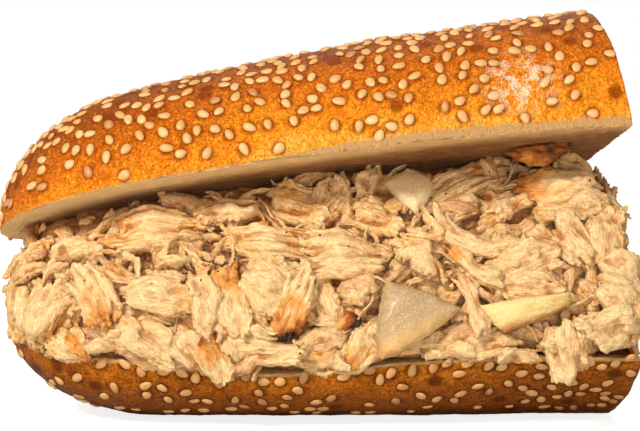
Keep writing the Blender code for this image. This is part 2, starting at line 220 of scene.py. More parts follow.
def crust_angle(segment_angle, crust_middle):
    """Angle round the half for an even step round the sphere, with more of the steps on the crust."""
    off = (segment_angle - crust_middle + math.pi) % (2 * math.pi) - math.pi
    crust_reach = math.pi * CRUST_SEGMENTS / LOAF_SEGMENTS
    if abs(off) <= crust_reach:
        return crust_middle + off / crust_reach * QUARTER
    rest = (abs(off) - crust_reach) / (math.pi - crust_reach)
    return crust_middle + math.copysign(QUARTER + rest * QUARTER, off)


def store(mesh, label, values, kind="FLOAT"):
    """Keeps a value for each vertex under a name."""
    made = mesh.attributes.new(label, kind, "POINT")
    made.data.foreach_set("vector" if kind == "FLOAT_VECTOR" else "value", values)


def loaf_half(name, point_at, crust_middle, place=Matrix()):
    """A half of the roll as one closed skin, with its crust and crumb as vertex groups and face materials."""
    bpy.ops.mesh.primitive_uv_sphere_add(segments=LOAF_SEGMENTS, ring_count=LOAF_RINGS, radius=1)
    half = bpy.context.object
    half.name = name
    crust = half.vertex_groups.new(name="crust")
    crumb = half.vertex_groups.new(name="crumb")
    mesh = half.data
    cut_middle = point_at(CUT_X, 0.0, 1.0, crust_middle).lerp(point_at(CUT_X, 1.0, 1.0, crust_middle), 0.5)
    height_shares = np.zeros(len(mesh.vertices))
    end_shares = np.zeros(len(mesh.vertices))
    cut_depths = np.zeros(len(mesh.vertices))
    for vert in mesh.vertices:
        ring = math.acos(max(-1.0, min(1.0, -vert.co.z))) / math.pi * LOAF_RINGS
        around = crust_angle(math.atan2(vert.co.y, vert.co.x), crust_middle)
        x, share, body, inward = station(ring)
        point = point_at(x, share, body, around)
        baked = math.sin(around) * math.sin(crust_middle)
        height_shares[vert.index] = baked
        end_shares[vert.index] = min(1.0, inward * END_RISE)
        if inward > 0:
            rim = point
            point = rim.lerp(cut_middle, inward)
            cut_depths[vert.index] = min((point - rim).length, END_CRUMB_DEPTH)
        elif baked < 0:
            cut_depths[vert.index] = BOTTOM_HALF_WIDTH * share * (1 - abs(math.cos(around)))
        is_crust = baked >= -RIM_SLACK and inward == 0
        (crust if is_crust else crumb).add([vert.index], 1.0, "REPLACE")
        vert.co = place @ point
    store(mesh, "cut_depth", cut_depths / MM)
    store(mesh, "height_share", height_shares)
    store(mesh, "end_share", end_shares)
    for face in mesh.polygons:
        face.material_index = int(any(cut_depths[i] > LEAST_DEPTH for i in face.vertices))
    mesh.shade_smooth()
    bm = bmesh.new()
    bm.from_mesh(mesh)
    bmesh.ops.remove_doubles(bm, verts=bm.verts, dist=WELD_REACH)
    bmesh.ops.recalc_face_normals(bm, faces=bm.faces)
    bm.to_mesh(mesh)
    bm.free()
    return half


def relief(obj, name, size, strength, group="", depth=2, guide=None):
    """Moves the surface in and out by a noise, and applies it."""
    texture = bpy.data.textures.new(name, "CLOUDS")
    texture.noise_scale = size
    texture.noise_depth = depth
    bpy.context.view_layer.objects.active = obj
    move = obj.modifiers.new(name, "DISPLACE")
    move.texture = texture
    move.texture_coords = "LOCAL"
    if guide:
        move.texture_coords = "OBJECT"
        move.texture_coords_object = guide
    move.mid_level = 0.5
    move.strength = strength
    if group:
        move.vertex_group = group
    bpy.ops.object.modifier_apply(modifier=name)


bpy.ops.object.select_all(action="DESELECT")
bun_bottom = loaf_half("roll_bottom", bottom_point, -QUARTER)
for kind, size, strength, group in SKIN_RELIEF:
    relief(bun_bottom, f"bottom_{kind}", size, strength, group)
for vert in bun_bottom.data.vertices:
    vert.co.z = max(0.0, vert.co.z)


class Nodes:
    """Short ways to add and join shader nodes in one tree."""

    def __init__(self, tree):
        self.tree = tree

    def add(self, kind, values=None, **settings):
        node = self.tree.nodes.new(kind)
        for key, value in settings.items():
            setattr(node, key, value)
        for key, value in (values or {}).items():
            self.set(node.inputs[key], value)
        return node

    def set(self, socket, value):
        if isinstance(value, bpy.types.NodeSocket):
            self.tree.links.new(value, socket)
        elif isinstance(value, tuple) and socket.type == "RGBA" and len(value) == 3:
            socket.default_value = (*value, 1)
        else:
            socket.default_value = value

    def math(self, operation, *values):
        node = self.add("ShaderNodeMath", operation=operation)
        for socket, value in zip(node.inputs, values):
            self.set(socket, value)
        return node.outputs[0]

    def plus(self, first, second):
        return self.math("ADD", first, second)

    def minus(self, first, second):
        return self.math("SUBTRACT", first, second)

    def times(self, first, second):
        return self.math("MULTIPLY", first, second)

    def swing(self, value, reach):
        """A value from 0 to 1, made to swing about 0."""
        return self.times(self.minus(value, 0.5), reach)

    def blend(self, share, mask, first, second):
        """The first colour, with a share of the second where the mask is."""
        return self.mix(self.times(mask, share), first, second)

    def crossing(self, value, wide, narrow):
        """Thin lines where a value from 0 to 1 crosses its middle."""
        return self.span(self.math("ABSOLUTE", self.minus(value, 0.5)), wide, narrow)

    def span(self, value, low, high, to_low=0.0, to_high=1.0):
        """The value's place between low and high, limited and smoothed."""
        limits = {"Value": value, "From Min": low, "From Max": high, "To Min": to_low, "To Max": to_high}
        node = self.add("ShaderNodeMapRange", limits, interpolation_type="SMOOTHSTEP")
        return node.outputs["Result"]

    def noise(self, vector, scale, detail=3.0, roughness=0.5, distortion=0.0):
        values = {"Vector": vector, "Scale": scale, "Detail": detail, "Roughness": roughness}
        node = self.add("ShaderNodeTexNoise", {**values, "Distortion": distortion})
        return node.outputs["Fac"]

    def stretch(self, vector, scale):
        return self.add("ShaderNodeMapping", {"Vector": vector, "Scale": scale}).outputs["Vector"]

    def mix(self, share, first, second):
        node = self.add("ShaderNodeMix", data_type="RGBA")
        self.set(node.inputs[0], share)
        self.set(node.inputs[6], first)
        self.set(node.inputs[7], second)
        return node.outputs[2]

    def attribute(self, name, output="Fac"):
        return self.add("ShaderNodeAttribute", attribute_name=name).outputs[output]

    def place(self):
        return self.add("ShaderNodeTexCoord").outputs["Object"]

    def bump(self, height, distance, strength=1.0, normal=None):
        node = self.add("ShaderNodeBump", {"Height": height, "Distance": distance, "Strength": strength})
        if normal:
            self.set(node.inputs["Normal"], normal)
        return node.outputs["Normal"]


def finish_material(name, roughness, **settings):
    """A material whose shader has its plain values set, with its node helper."""
    made = bpy.data.materials.new(name)
    made.use_nodes = True
    shader = made.node_tree.nodes["Principled BSDF"]
    shader.inputs["Roughness"].default_value = roughness
    for key, value in settings.items():
        socket = shader.inputs[key.replace("_", " ").title().replace("Ior", "IOR")]
        socket.default_value = value
    return made, shader, Nodes(made.node_tree)


def mottle_group():
    """Two noises, coarse and fine, as one uneven mask that several materials use."""
    group = bpy.data.node_groups.new("mottle", "ShaderNodeTree")
    group.interface.new_socket("Vector", in_out="INPUT", socket_type="NodeSocketVector")
    for label in ("Scale", "Low", "High"):
        group.interface.new_socket(label, in_out="INPUT", socket_type="NodeSocketFloat")
    group.interface.new_socket("Mask", in_out="OUTPUT", socket_type="NodeSocketFloat")
    given = group.nodes.new("NodeGroupInput").outputs
    made = group.nodes.new("NodeGroupOutput").inputs
    tree = Nodes(group)
    coarse = tree.noise(given["Vector"], given["Scale"], 3.0, 0.55)
    fine = tree.noise(given["Vector"], tree.times(given["Scale"], 5.3), 4.0, 0.6)
    both = tree.plus(tree.times(coarse, 0.65), tree.times(fine, 0.35))
    tree.set(made["Mask"], tree.span(both, given["Low"], given["High"]))
    return group


mottle = mottle_group()


def mottled(tree, vector, scale, low, high):
    node = tree.add("ShaderNodeGroup", node_tree=mottle)
    for key, value in (("Vector", vector), ("Scale", scale), ("Low", low), ("High", high)):
        tree.set(node.inputs[key], value)
    return node.outputs["Mask"]


RIM_CRUMB = (0.50, 0.28, 0.11)
FLOUR = (0.90, 0.66, 0.44)
CRUST_ROUGHNESS = 0.40
CRUST_SHINE = 0.07
CRUST_SHINE_TINT = (1.0, 0.60, 0.30, 1)
FLATTENED = (1.0, 1.0, 0.6)


def crust_material(name, pale, gold, brown, dark, low_share, high_share):
    """Glazed crust, paler near the cut and darker over the crown, with fine pores, painted shade in its
    creases and dark seed rings that are partly glaze and partly painted shade.
    """
    made, shader, tree = finish_material(name, CRUST_ROUGHNESS, specular_ior_level=CRUST_SHINE)
    shader.inputs["Specular Tint"].default_value = CRUST_SHINE_TINT
    place = tree.place()
    height = tree.attribute("height_share")
    drift = tree.swing(tree.noise(place, 55.0, 4.0, 0.6), 0.75)
    patches = tree.swing(tree.noise(place, 260.0, 3.0, 0.6), 0.65)
    baked = tree.plus(tree.plus(height, drift), tree.attribute("extra_bake"))
    baked = tree.plus(baked, patches)
    colour = tree.mix(tree.span(baked, -0.05, low_share), pale, gold)
    colour = tree.mix(tree.span(baked, low_share * 0.7, high_share), colour, brown)
    colour = tree.mix(tree.span(baked, high_share * 0.85, high_share + 0.45), colour, dark)
    grain = tree.noise(place, 1500.0, 2.0, 0.6, 0.3)
    colour = tree.blend(0.40, tree.span(grain, 0.50, 0.36), colour, brown)
    colour = tree.blend(0.45, tree.span(grain, 0.50, 0.64), colour, pale)
    folds = tree.noise(tree.stretch(place, (1.0, 1.0, 0.7)), 980.0, 2.0, 0.5, 0.6)
    crease = tree.crossing(folds, 0.050, 0.005)
    # Painted shade: the thin creases of the wrinkles are darkened, more over the darker baked crust.
    crease_painted_shade = tree.times(crease, tree.span(baked, -0.3, 0.6, 0.15, 0.70))
    colour = tree.mix(crease_painted_shade, colour, tree.mix(0.45, dark, brown))
    speck = mottled(tree, place, 420.0, 0.52, 0.70)
    colour = tree.blend(0.45, speck, colour, tree.mix(0.5, colour, dark))
    # Dark rings round the seeds: partly glaze and the scars of lost seeds, partly painted shade where a seed
    # meets the crust.
    colour = tree.blend(0.85, tree.attribute("seed_ring_and_painted_shade"), colour, dark)
    dusted = mottled(tree, tree.stretch(place, FLATTENED), 520.0, 0.47, 0.56)
    floured = tree.times(tree.attribute("floured"), dusted)
    colour = tree.blend(0.85, floured, colour, FLOUR)
    rim_place = tree.swing(tree.noise(place, 420.0, 3.0), 1.2)
    rim = tree.span(tree.plus(tree.attribute("cut_edge"), rim_place), 1.2, 0.8)
    colour = tree.mix(rim, colour, RIM_CRUMB)
    tree.set(shader.inputs["Base Color"], colour)
    rough = tree.plus(CRUST_ROUGHNESS, tree.times(speck, 0.18))
    rough = tree.plus(rough, tree.times(rim, 0.4))
    rough = tree.plus(rough, tree.times(floured, 0.35))
    tree.set(shader.inputs["Roughness"], rough)
    wrinkle = tree.noise(tree.stretch(place, FLATTENED), 900.0, 4.0, 0.65, 0.4)
    normal = tree.bump(wrinkle, 0.00065, 1.0)
    normal = tree.bump(grain, 0.00045, 0.9, normal)
    crumpled = tree.times(crease, tree.minus(1.0, rim))
    normal = tree.bump(crumpled, -0.00025, 0.8, normal)
    tree.set(shader.inputs["Normal"], normal)
    return made


# Crumb colours: the pale one is the crumb's own colour brightened with painted light, and the dark brown
# inside ones are painted shade.
CRUMB_PALE_WITH_PAINTED_LIGHT = (0.98, 0.65, 0.27)
CRUMB_IN_PAINTED_SHADE = ((0.26, 0.09, 0.016), (0.40, 0.17, 0.04), (0.42, 0.19, 0.05))
CRUMB_AT_END = ((0.82, 0.64, 0.42), (0.97, 0.84, 0.62))
CRUMB_UNDER_CRUST = (0.85, 0.48, 0.15)
PAINTED_LIGHT_BAND = (19.0, 5.0)
PAINTED_LIGHT_CHANGE_ALONG = 115.0


def crumb_material():
    """Soft crumb with fine pores: pale on the cut end, pale with painted light along the front rim, and
    painted shade, dark brown, deeper under the cut.
    """
    made, shader, tree = finish_material("crumb", 0.85, subsurface_weight=0.15, subsurface_scale=0.0015)
    place = tree.place()
    pores = mottled(tree, tree.stretch(place, (0.6, 1.0, 1.0)), 420.0, 0.42, 0.60)
    # Painted shade: the crumb starts dark brown, as it looks deep under the cut.
    colour = tree.mix(pores, *CRUMB_IN_PAINTED_SHADE[:2])
    colour = tree.mix(mottled(tree, place, 60.0, 0.45, 0.65), colour, CRUMB_IN_PAINTED_SHADE[2])
    deep = tree.attribute("cut_depth")
    # Painted light and shade: pale near the front edge, darkening to painted shade deeper under the cut, and
    # the lit band reaches deeper towards the rounded end.
    painted_shade_depth = tree.plus(deep, tree.times(tree.noise(place, 160.0), 5.0))
    along = tree.add("ShaderNodeSeparateXYZ", {"Vector": place}).outputs["X"]
    painted_shade_depth = tree.plus(painted_shade_depth, tree.times(along, PAINTED_LIGHT_CHANGE_ALONG))
    colour = tree.blend(0.97, tree.span(painted_shade_depth, *PAINTED_LIGHT_BAND), colour, CRUMB_PALE_WITH_PAINTED_LIGHT)
    end_colour = tree.mix(pores, *CRUMB_AT_END)
    colour = tree.mix(tree.span(tree.attribute("end_share"), 0.1, 1.0), colour, end_colour)
    colour = tree.blend(0.5, tree.span(deep, 0.9, 0.1), colour, CRUMB_UNDER_CRUST)
    tree.set(shader.inputs["Base Color"], colour)
    tree.set(shader.inputs["Normal"], tree.bump(pores, 0.0005, 0.8))
    return made


def spread_attribute(obj, name, value_at):
    """Stores a value for each vertex, worked out from its place."""
    store(obj.data, name, [value_at(vert.co) for vert in obj.data.vertices])


BOTTOM_RIM = 0.8 * MM
BOTTOM_EXTRA_BAKE = 0.25
BOTTOM_EXTRA_BAKE_X = -70 * MM
# Pale, golden, brown and dark crust
BOTTOM_CRUST = [(0.68, 0.215, 0.014), (0.45, 0.12, 0.007), (0.27, 0.062, 0.004), (0.11, 0.022, 0.002)]


def bottom_extra_bake(point):
    """The rounded end is baked darker."""
    return BOTTOM_EXTRA_BAKE * smooth_step(0, BOTTOM_EXTRA_BAKE_X, point.x)


def bottom_rim_share(point):
    """Depth under the cut face, as a share of the pale strip that the knife left."""
    return (cut_face_height(point.x, point.y) - point.z) / BOTTOM_RIM


bottom_crust = crust_material("bottom_crust", *BOTTOM_CRUST, 0.42, 0.85)
crumb = crumb_material()
bun_bottom.data.materials.append(bottom_crust)
bun_bottom.data.materials.append(crumb)
spread_attribute(bun_bottom, "extra_bake", bottom_extra_bake)
store(bun_bottom.data, "floured", [0.0] * len(bun_bottom.data.vertices))
spread_attribute(bun_bottom, "cut_edge", bottom_rim_share)
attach(bun_bottom, "root")
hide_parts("bun_bottom")


# Top half of the roll
#
# The upper part of the same roll, a dome that leans back on the filling and rises to the cut end. Its crown
# is baked darkest, and flour lies on a patch of it near the cut end.

TOP_HALF_WIDTH = 36 * MM
TOP_HEIGHT_TIP = 29 * MM
TOP_HEIGHT_CUT = 36 * MM
TOP_CENTRE = Vector((-2 * MM, 0, 57.8 * MM))
LEAN_BACK = math.radians(-12.5)
SLOPE_UP = math.radians(-7.4)
TOP_BOW = 0.6
DOME_POWER = 0.92
TOP_RIM_LEFT = 0.4 * MM
TOP_RIM_RIGHT = 2.4 * MM
FLOURED_MIDDLE = Vector((47 * MM, -27 * MM, 82 * MM))
FLOURED_REACH = Vector((11 * MM, 14 * MM, 9 * MM))
TOP_EXTRA_BAKE = 0.35
TOP_EXTRA_BAKE_X = -72 * MM
TOP_CRUST = [(0.92, 0.43, 0.055), (0.97, 0.30, 0.012), (0.68, 0.148, 0.005), (0.25, 0.040, 0.002)]


def top_point(x, share, body, around):
    """Point of the top half's skin in its own frame, where the cut face is level with z = 0."""
    y = TOP_HALF_WIDTH * (1 - TAPER * (1 - body)) * share * math.cos(around)
    height = TOP_HEIGHT_TIP + (TOP_HEIGHT_CUT - TOP_HEIGHT_TIP) * body
    up = math.sin(around)
    z = 0.0
    if up > 0:
        z = height * share * up**DOME_POWER
        wave = crust_wave(x, y, z)
        y += wave * math.cos(around)
        z += wave * up
    return Vector((x + CUT_SKEW * y * body, y, z - TOP_BOW * x * x))


top_place = (
    Matrix.Translation(TOP_CENTRE) @ Matrix.Rotation(SLOPE_UP, 4, "Y") @ Matrix.Rotation(LEAN_BACK, 4, "X")
)
top_place_back = top_place.inverted()
bun_top = loaf_half("roll_top", top_point, QUARTER, top_place)
for kind, size, strength, group in SKIN_RELIEF:
    relief(bun_top, f"top_{kind}", size, strength, group)


def floured_share(point):
    """How much flour lies at a place: a round patch near the cut end."""
    off = point - FLOURED_MIDDLE
    far = math.sqrt(sum((off[i] / FLOURED_REACH[i]) ** 2 for i in range(3)))
    return 1 - smooth_step(0.35, 1.1, far)


def top_rim_share(point):
    """Height over the cut face, as a share of the pale strip that the knife left, wider to the cut end."""
    local = top_place_back @ point
    strip = TOP_RIM_LEFT + (TOP_RIM_RIGHT - TOP_RIM_LEFT) * smooth_step(-20 * MM, 25 * MM, point.x)
    return (local.z + TOP_BOW * local.x**2) / strip


def top_extra_bake(point):
    """The rounded end is baked darker."""
    return TOP_EXTRA_BAKE * smooth_step(0, TOP_EXTRA_BAKE_X, point.x)


top_crust = crust_material("top_crust", *TOP_CRUST, 0.15, 0.58)
bun_top.data.materials.append(top_crust)
bun_top.data.materials.append(crumb)
spread_attribute(bun_top, "extra_bake", top_extra_bake)
spread_attribute(bun_top, "floured", floured_share)
spread_attribute(bun_top, "cut_edge", top_rim_share)
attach(bun_top, "root")
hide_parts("bun_top")


# The heap of pulled chicken
#
# Cooked breast torn by hand into blocks, flakes and strands, whose fibres run lengthwise and end ragged. Each
# kind is modelled once from fibres grown together, and copies lie crosswise over a core whose darker colour
# is painted shade.

HEAP_LEFT = -71 * MM
HEAP_RIGHT = 71.5 * MM
HEAP_END_SLOPE = 4 * MM
HEAP_TOP_LEFT_Y = -13 * MM
HEAP_TOP_RIGHT_Y = 0
HEAP_BACK_Y = 30 * MM
HEAP_BULGE = 2.0
HEAP_INSET = 3.0 * MM
HEAP_SQUARENESS = 14
CORE_CELLS = (150, 44, 40)
LEAST_PLAN_SHARE = 0.02


def plan_share(x):
    """Share of the roll's full width at a place along it."""
    if x >= TIP_X + END_LENGTH:
        return 1.0
    off = (TIP_X + END_LENGTH - x) / END_LENGTH
    return math.sqrt(max(LEAST_PLAN_SHARE, 1 - off * off))


def underside_height(x, y):
    """Height of the top half's cut face above a place on the table."""
    local = Vector((x, y, 0))
    for _ in range(4):
        found = top_place @ Vector((local.x, local.y, -TOP_BOW * local.x**2))
        local += Vector((x - found.x, y - found.y, 0))
    return found.z


def heap_front(x, share_up):
    """How far forward the heap's face is, from the bottom rim, 0, up to the top half, 1."""
    top_y = HEAP_TOP_LEFT_Y + (HEAP_TOP_RIGHT_Y - HEAP_TOP_LEFT_Y) * smooth_step(HEAP_LEFT, HEAP_RIGHT, x)
    low_y = -BOTTOM_HALF_WIDTH
    return (low_y + (top_y - low_y) * max(0.0, share_up) ** HEAP_BULGE) * plan_share(x)


def share_of_height(x, y, z):
    low = cut_face_height(x, y)
    return (z - low) / (underside_height(x, y) - low)


def face_point(x, z):
    """The place on the heap's face at a height, and the way the face looks out."""
    y = heap_front(x, 0.3)
    for _ in range(6):
        y = heap_front(x, share_of_height(x, y, z))
    step = MM
    above = heap_front(x, share_of_height(x, y, z + step))
    beside = heap_front(x + step, share_of_height(x + step, y, z))
    up = Vector((0, above - y, step))
    aside = Vector((step, beside - y, 0))
    return Vector((x, y, z)), aside.cross(up).normalized()


def skew_with_cut(x, y):
    """How far a place near the cut end moves along the roll, as the cut isn't quite square."""
    start = TIP_X + END_LENGTH
    return CUT_SKEW * y * min(1.0, max(0.0, (x - start) / (CUT_X - start)))


def celled_cube(name, axis_cells):
    """A cube 2 wide whose sides are split into cells, as an object and an open mesh."""
    bpy.ops.object.select_all(action="DESELECT")
    bpy.ops.mesh.primitive_cube_add(size=2)
    cube = bpy.context.object
    cube.name = name
    bm = bmesh.new()
    bm.from_mesh(cube.data)
    for axis, cells in enumerate(axis_cells):
        edges = [edge for edge in bm.edges if abs((edge.verts[0].co - edge.verts[1].co)[axis]) > 1.5]
        bmesh.ops.subdivide_edges(bm, edges=edges, cuts=cells - 1, use_grid_fill=True)
    return cube, bm


def heap_core():
    """The inside of the heap: a rounded block, drawn out to fill the space between the cut faces."""
    core, bm = celled_cube("chicken_core", CORE_CELLS)
    for vert in bm.verts:
        square = sum(abs(c) ** HEAP_SQUARENESS for c in vert.co) ** (1 / HEAP_SQUARENESS)
        box = vert.co / square
        up = (box.z + 1) / 2
        x = HEAP_LEFT + (HEAP_RIGHT - HEAP_END_SLOPE * up - HEAP_LEFT) * (box.x + 1) / 2
        back = (box.y + 1) / 2
        front_y = heap_front(x, up) + HEAP_INSET
        y = front_y + (HEAP_BACK_Y * plan_share(x) - front_y) * back
        low = cut_face_height(x, y)
        z = low + (underside_height(x, y) - low) * up
        vert.co = Vector((x + skew_with_cut(x, y), y, z))
    bm.to_mesh(core.data)
    bm.free()
    return core


core = heap_core()
core_tree = BVHTree.FromObject(core, bpy.context.evaluated_depsgraph_get())
relief(core, "core_lumps", 5 * MM, 2.6 * MM, depth=3)
relief(core, "core_fibres", 1.6 * MM, 1.2 * MM, depth=3)

STRAND_SIDES = 8
STRAND_RINGS = 9
STRAND_BLUNTNESS = 0.62
STRAND_POINT = 1.35
FIBRE_STRETCH = (6, 1, 1)
VOXEL = 0.25 * MM
FIBRE_WANDER = 0.9 * MM
FIBRE_WANDER_SIZE = 5 * MM
FIBRE_LEAN = 0.09
FIBRE_SLIDE = 0.3
FIBRE_WIDTHS = (0.75, 1.1)
FIBRE_DEPTHS = (0.5, 0.7)
FIBRE_STRAY_WIDE = 0.2
FIBRE_STRAY_DEEP = 0.4
CORNERS_OFF = 1.45
SIDES_SHORTER = 0.12
LUMP_SIZE = 3.0 * MM
RIDGE_SIZE = 0.9 * MM
RIDGE_HEIGHT = 0.32 * MM
TORN_SIZE = 0.7 * MM
TORN_HEIGHT = 1.3 * MM
SEAR_MIDDLE = 0.35
SEAR_SLOPE = 0.9
MOST_SEARED = 1.1
WARP_SIZE = 6.5 * MM
WARP_APART = Vector((0, 17, 31))
TORN_END = 0.6
HOLLOW_ROUNDS = 7
HOLLOW_DEPTH = 0.30 * MM
DEEP_DETAIL = 0.48
SEARED_ALL_OVER = 0.84
Bundle = namedtuple("Bundle", "length width thickness across deep overlap fray wave lumps curl faces")

# Torn pieces, in millimetres: how many fibres lie across and deep, how far they grow into each other, how
# uneven their ends are, how far they wander, how lumpy the piece is, how many degrees it curls across its
# width, and how many faces it has
BUNDLES = {
    "block_a": Bundle(20, 9.0, 6.0, 6, 3, 1.25, 0.16, 1.6, 1.0, 20, 4200),
    "block_b": Bundle(17, 8.5, 6.0, 4, 2, 1.55, 0.26, 2.4, 1.5, 40, 4000),
    "block_c": Bundle(16, 10.5, 6.0, 5, 3, 1.40, 0.30, 2.8, 1.7, 50, 4200),
    "flake_a": Bundle(20, 13.0, 3.0, 7, 1, 1.50, 0.22, 2.2, 1.2, 50, 4200),
    "flake_b": Bundle(15, 11.0, 2.8, 6, 1, 1.60, 0.40, 2.8, 1.5, 70, 3800),
    "flake_c": Bundle(14, 12.0, 3.4, 5, 1, 1.80, 0.50, 3.2, 1.9, 90, 3800),
    "strip_a": Bundle(22, 5.8, 3.4, 4, 2, 1.40, 0.28, 2.2, 1.1, 60, 2600),
    "strip_b": Bundle(20, 4.6, 2.6, 3, 2, 1.35, 0.30, 2.0, 0.9, 40, 2200),
    "ribbon": Bundle(26, 6.4, 2.0, 5, 1, 1.60, 0.20, 2.4, 0.9, 130, 3000),
    "strand_a": Bundle(22, 2.6, 1.8, 3, 1, 1.20, 0.26, 2.0, 0.7, 0, 1100),
    "strand_b": Bundle(18, 1.6, 1.4, 2, 1, 1.10, 0.20, 1.8, 0.5, 0, 700),
    "shred_a": Bundle(12, 6.0, 3.4, 4, 2, 1.50, 0.42, 2.4, 1.5, 50, 1400),
    "shred_b": Bundle(10, 7.0, 3.8, 4, 2, 1.60, 0.45, 2.6, 1.7, 60, 1400),
    "shred_c": Bundle(12, 4.2, 2.6, 3, 2, 1.40, 0.38, 2.2, 1.1, 30, 1000),
    "scrap_a": Bundle(5.0, 3.6, 1.6, 4, 1, 1.30, 0.50, 1.4, 0.8, 30, 90),
    "scrap_b": Bundle(3.8, 2.6, 1.3, 3, 1, 1.30, 0.50, 1.2, 0.7, 20, 72),
}


def own_copy(master):
    """A copy with a mesh of its own."""
    copy = master.copy()
    copy.data = master.data.copy()
    bpy.context.collection.objects.link(copy)
    return copy


def join_pieces(pieces, name):
    bpy.ops.object.select_all(action="DESELECT")
    for piece in pieces:
        piece.select_set(True)
    bpy.context.view_layer.objects.active = pieces[0]
    bpy.ops.object.join()
    joined = bpy.context.object
    joined.name = name
    return joined


def read_points(mesh, kind="co"):
    values = np.empty(len(mesh.vertices) * 3)
    mesh.vertices.foreach_get(kind, values)
    return values.reshape(-1, 3)


def arc(points, angle, length, lie, axis):
    """Bends points that lie along one axis into an arc, so that both ends move along another."""
    if abs(angle) < 0.02:
        return
    radius = length / angle
    turned = points[:, lie] / radius
    reach = radius - points[:, axis]
    points[:, lie] = reach * np.sin(turned)
    points[:, axis] = radius - reach * np.cos(turned)
    points[:, axis] -= radius * (1 - math.cos(angle / 2)) / 2


def single_fibre():
    """One fibre of unit size: a blunt spindle along X."""
    bpy.ops.object.select_all(action="DESELECT")
    bpy.ops.mesh.primitive_uv_sphere_add(
        segments=STRAND_SIDES, ring_count=STRAND_RINGS, radius=1, rotation=(0, QUARTER, 0)
    )
    fibre = bpy.context.object
    fibre.name = "fibre_master"
    bpy.ops.object.transform_apply(location=True, rotation=True, scale=True)
    for vert in fibre.data.vertices:
        vert.co.x = math.copysign(abs(vert.co.x) ** STRAND_POINT, vert.co.x)
        radius = math.hypot(vert.co.y, vert.co.z)
        if radius > 0.01:
            swell = radius**STRAND_BLUNTNESS / radius
            vert.co.y *= swell
            vert.co.z *= swell
    return fibre


def mark_hollows(mesh):
    """Stores how deep each vertex lies in a groove, 1, or stands on a ridge, -1."""
    points = read_points(mesh)
    normals = read_points(mesh, "normal")
    edges = np.empty(len(mesh.edges) * 2, dtype=np.int32)
    mesh.edges.foreach_get("vertices", edges)
    ends = edges.reshape(-1, 2)
    near = np.bincount(edges, minlength=len(points)).reshape(-1, 1)
    smooth = points.copy()
    for _ in range(HOLLOW_ROUNDS):
        total = np.zeros_like(smooth)
        np.add.at(total, ends[:, 0], smooth[ends[:, 1]])
        np.add.at(total, ends[:, 1], smooth[ends[:, 0]])
        smooth = total / np.maximum(near, 1)
    depth = ((smooth - points) * normals).sum(axis=1)
    store(mesh, "hollow", np.clip(depth / HOLLOW_DEPTH, -1, 1))


def thin_out(piece, share):
    bpy.context.view_layer.objects.active = piece
    thin = piece.modifiers.new("thin", "DECIMATE")
    thin.ratio = share
    bpy.ops.object.modifier_apply(modifier="thin")


def torn_master(name, kind, draw):
    """Models one kind of torn piece: fibres side by side, grown into one and torn at the ends."""
    fibres = []
    for row in range(kind.deep):
        for column in range(kind.across):
            across = (2 * column + 1) / kind.across - 1
            deep = (2 * row + 1) / kind.deep - 1
            if across**2 + deep**2 > CORNERS_OFF:
                continue
            fibre = own_copy(fibre_master)
            reach = kind.length / 2 * (1 - kind.fray * draw.random()) * (1 - SIDES_SHORTER * across**2)
            slide = kind.length * kind.fray * draw.uniform(-FIBRE_SLIDE, FIBRE_SLIDE)
            wide = kind.overlap * kind.width / kind.across * draw.uniform(*FIBRE_WIDTHS) / 2
            thick = kind.thickness / kind.deep * draw.uniform(*FIBRE_DEPTHS)
            middle = Vector((slide, across * (kind.width / 2 - wide), deep * (kind.thickness - thick) / 2))
            stray_wide = draw.uniform(-FIBRE_STRAY_WIDE, FIBRE_STRAY_WIDE)
            stray_deep = draw.uniform(-FIBRE_STRAY_DEEP, FIBRE_STRAY_DEEP)
            middle += Vector((0, stray_wide, stray_deep))
            lean = Matrix.Rotation(draw.uniform(-FIBRE_LEAN, FIBRE_LEAN), 4, "Z")
            lean @= Matrix.Rotation(draw.uniform(-FIBRE_LEAN, FIBRE_LEAN), 4, "Y")
            size = Matrix.Diagonal((reach, wide, thick, 1))
            fibre.data.transform(Matrix.Scale(MM, 4) @ Matrix.Translation(middle) @ lean @ size)
            phase = draw.uniform(0, 50)
            for vert in fibre.data.vertices:
                along = vert.co.x / FIBRE_WANDER_SIZE
                vert.co.y += FIBRE_WANDER * noise.noise(Vector((along, phase, 0)))
                vert.co.z += FIBRE_WANDER * noise.noise(Vector((along, 0, phase)))
            fibres.append(fibre)
    piece = join_pieces(fibres, name)
    phase = draw.uniform(0, 50)
    for vert in piece.data.vertices:
        place = vert.co / WARP_SIZE + Vector((phase, 0, 0))
        push = Vector((noise.noise(place), noise.noise(place + WARP_APART), noise.noise(place - WARP_APART)))
        vert.co += push * kind.wave * MM
    points = read_points(piece.data)
    arc(points, -math.radians(kind.curl), kind.width * MM, 1, 2)
    piece.data.vertices.foreach_set("co", points.ravel())
    grow = piece.modifiers.new("grow", "REMESH")
    grow.mode = "VOXEL"
    grow.voxel_size = VOXEL
    bpy.ops.object.modifier_apply(modifier="grow")
    relief(piece, f"{name}_lumps", LUMP_SIZE, kind.lumps * MM)
    relief(piece, f"{name}_ridges", RIDGE_SIZE, RIDGE_HEIGHT, depth=3, guide=fibre_guide)
    torn = piece.vertex_groups.new(name="torn")
    for vert in piece.data.vertices:
        off = math.hypot(vert.co.x / (kind.length * MM / 2), 0.8 * vert.co.y / (kind.width * MM / 2))
        torn.add([vert.index], smooth_step(TORN_END, 1.0, off), "REPLACE")
    relief(piece, f"{name}_torn", TORN_SIZE, TORN_HEIGHT, "torn")
    piece.vertex_groups.clear()
    thin_out(piece, min(1.0, kind.faces / (2 * len(piece.data.polygons))))
    piece.data.shade_smooth()
    return piece


def plainer_copy(master):
    """A copy of a torn piece with fewer faces, for the ones that lie deeper or at the back."""
    copy = own_copy(master)
    thin_out(copy, DEEP_DETAIL)
    return copy


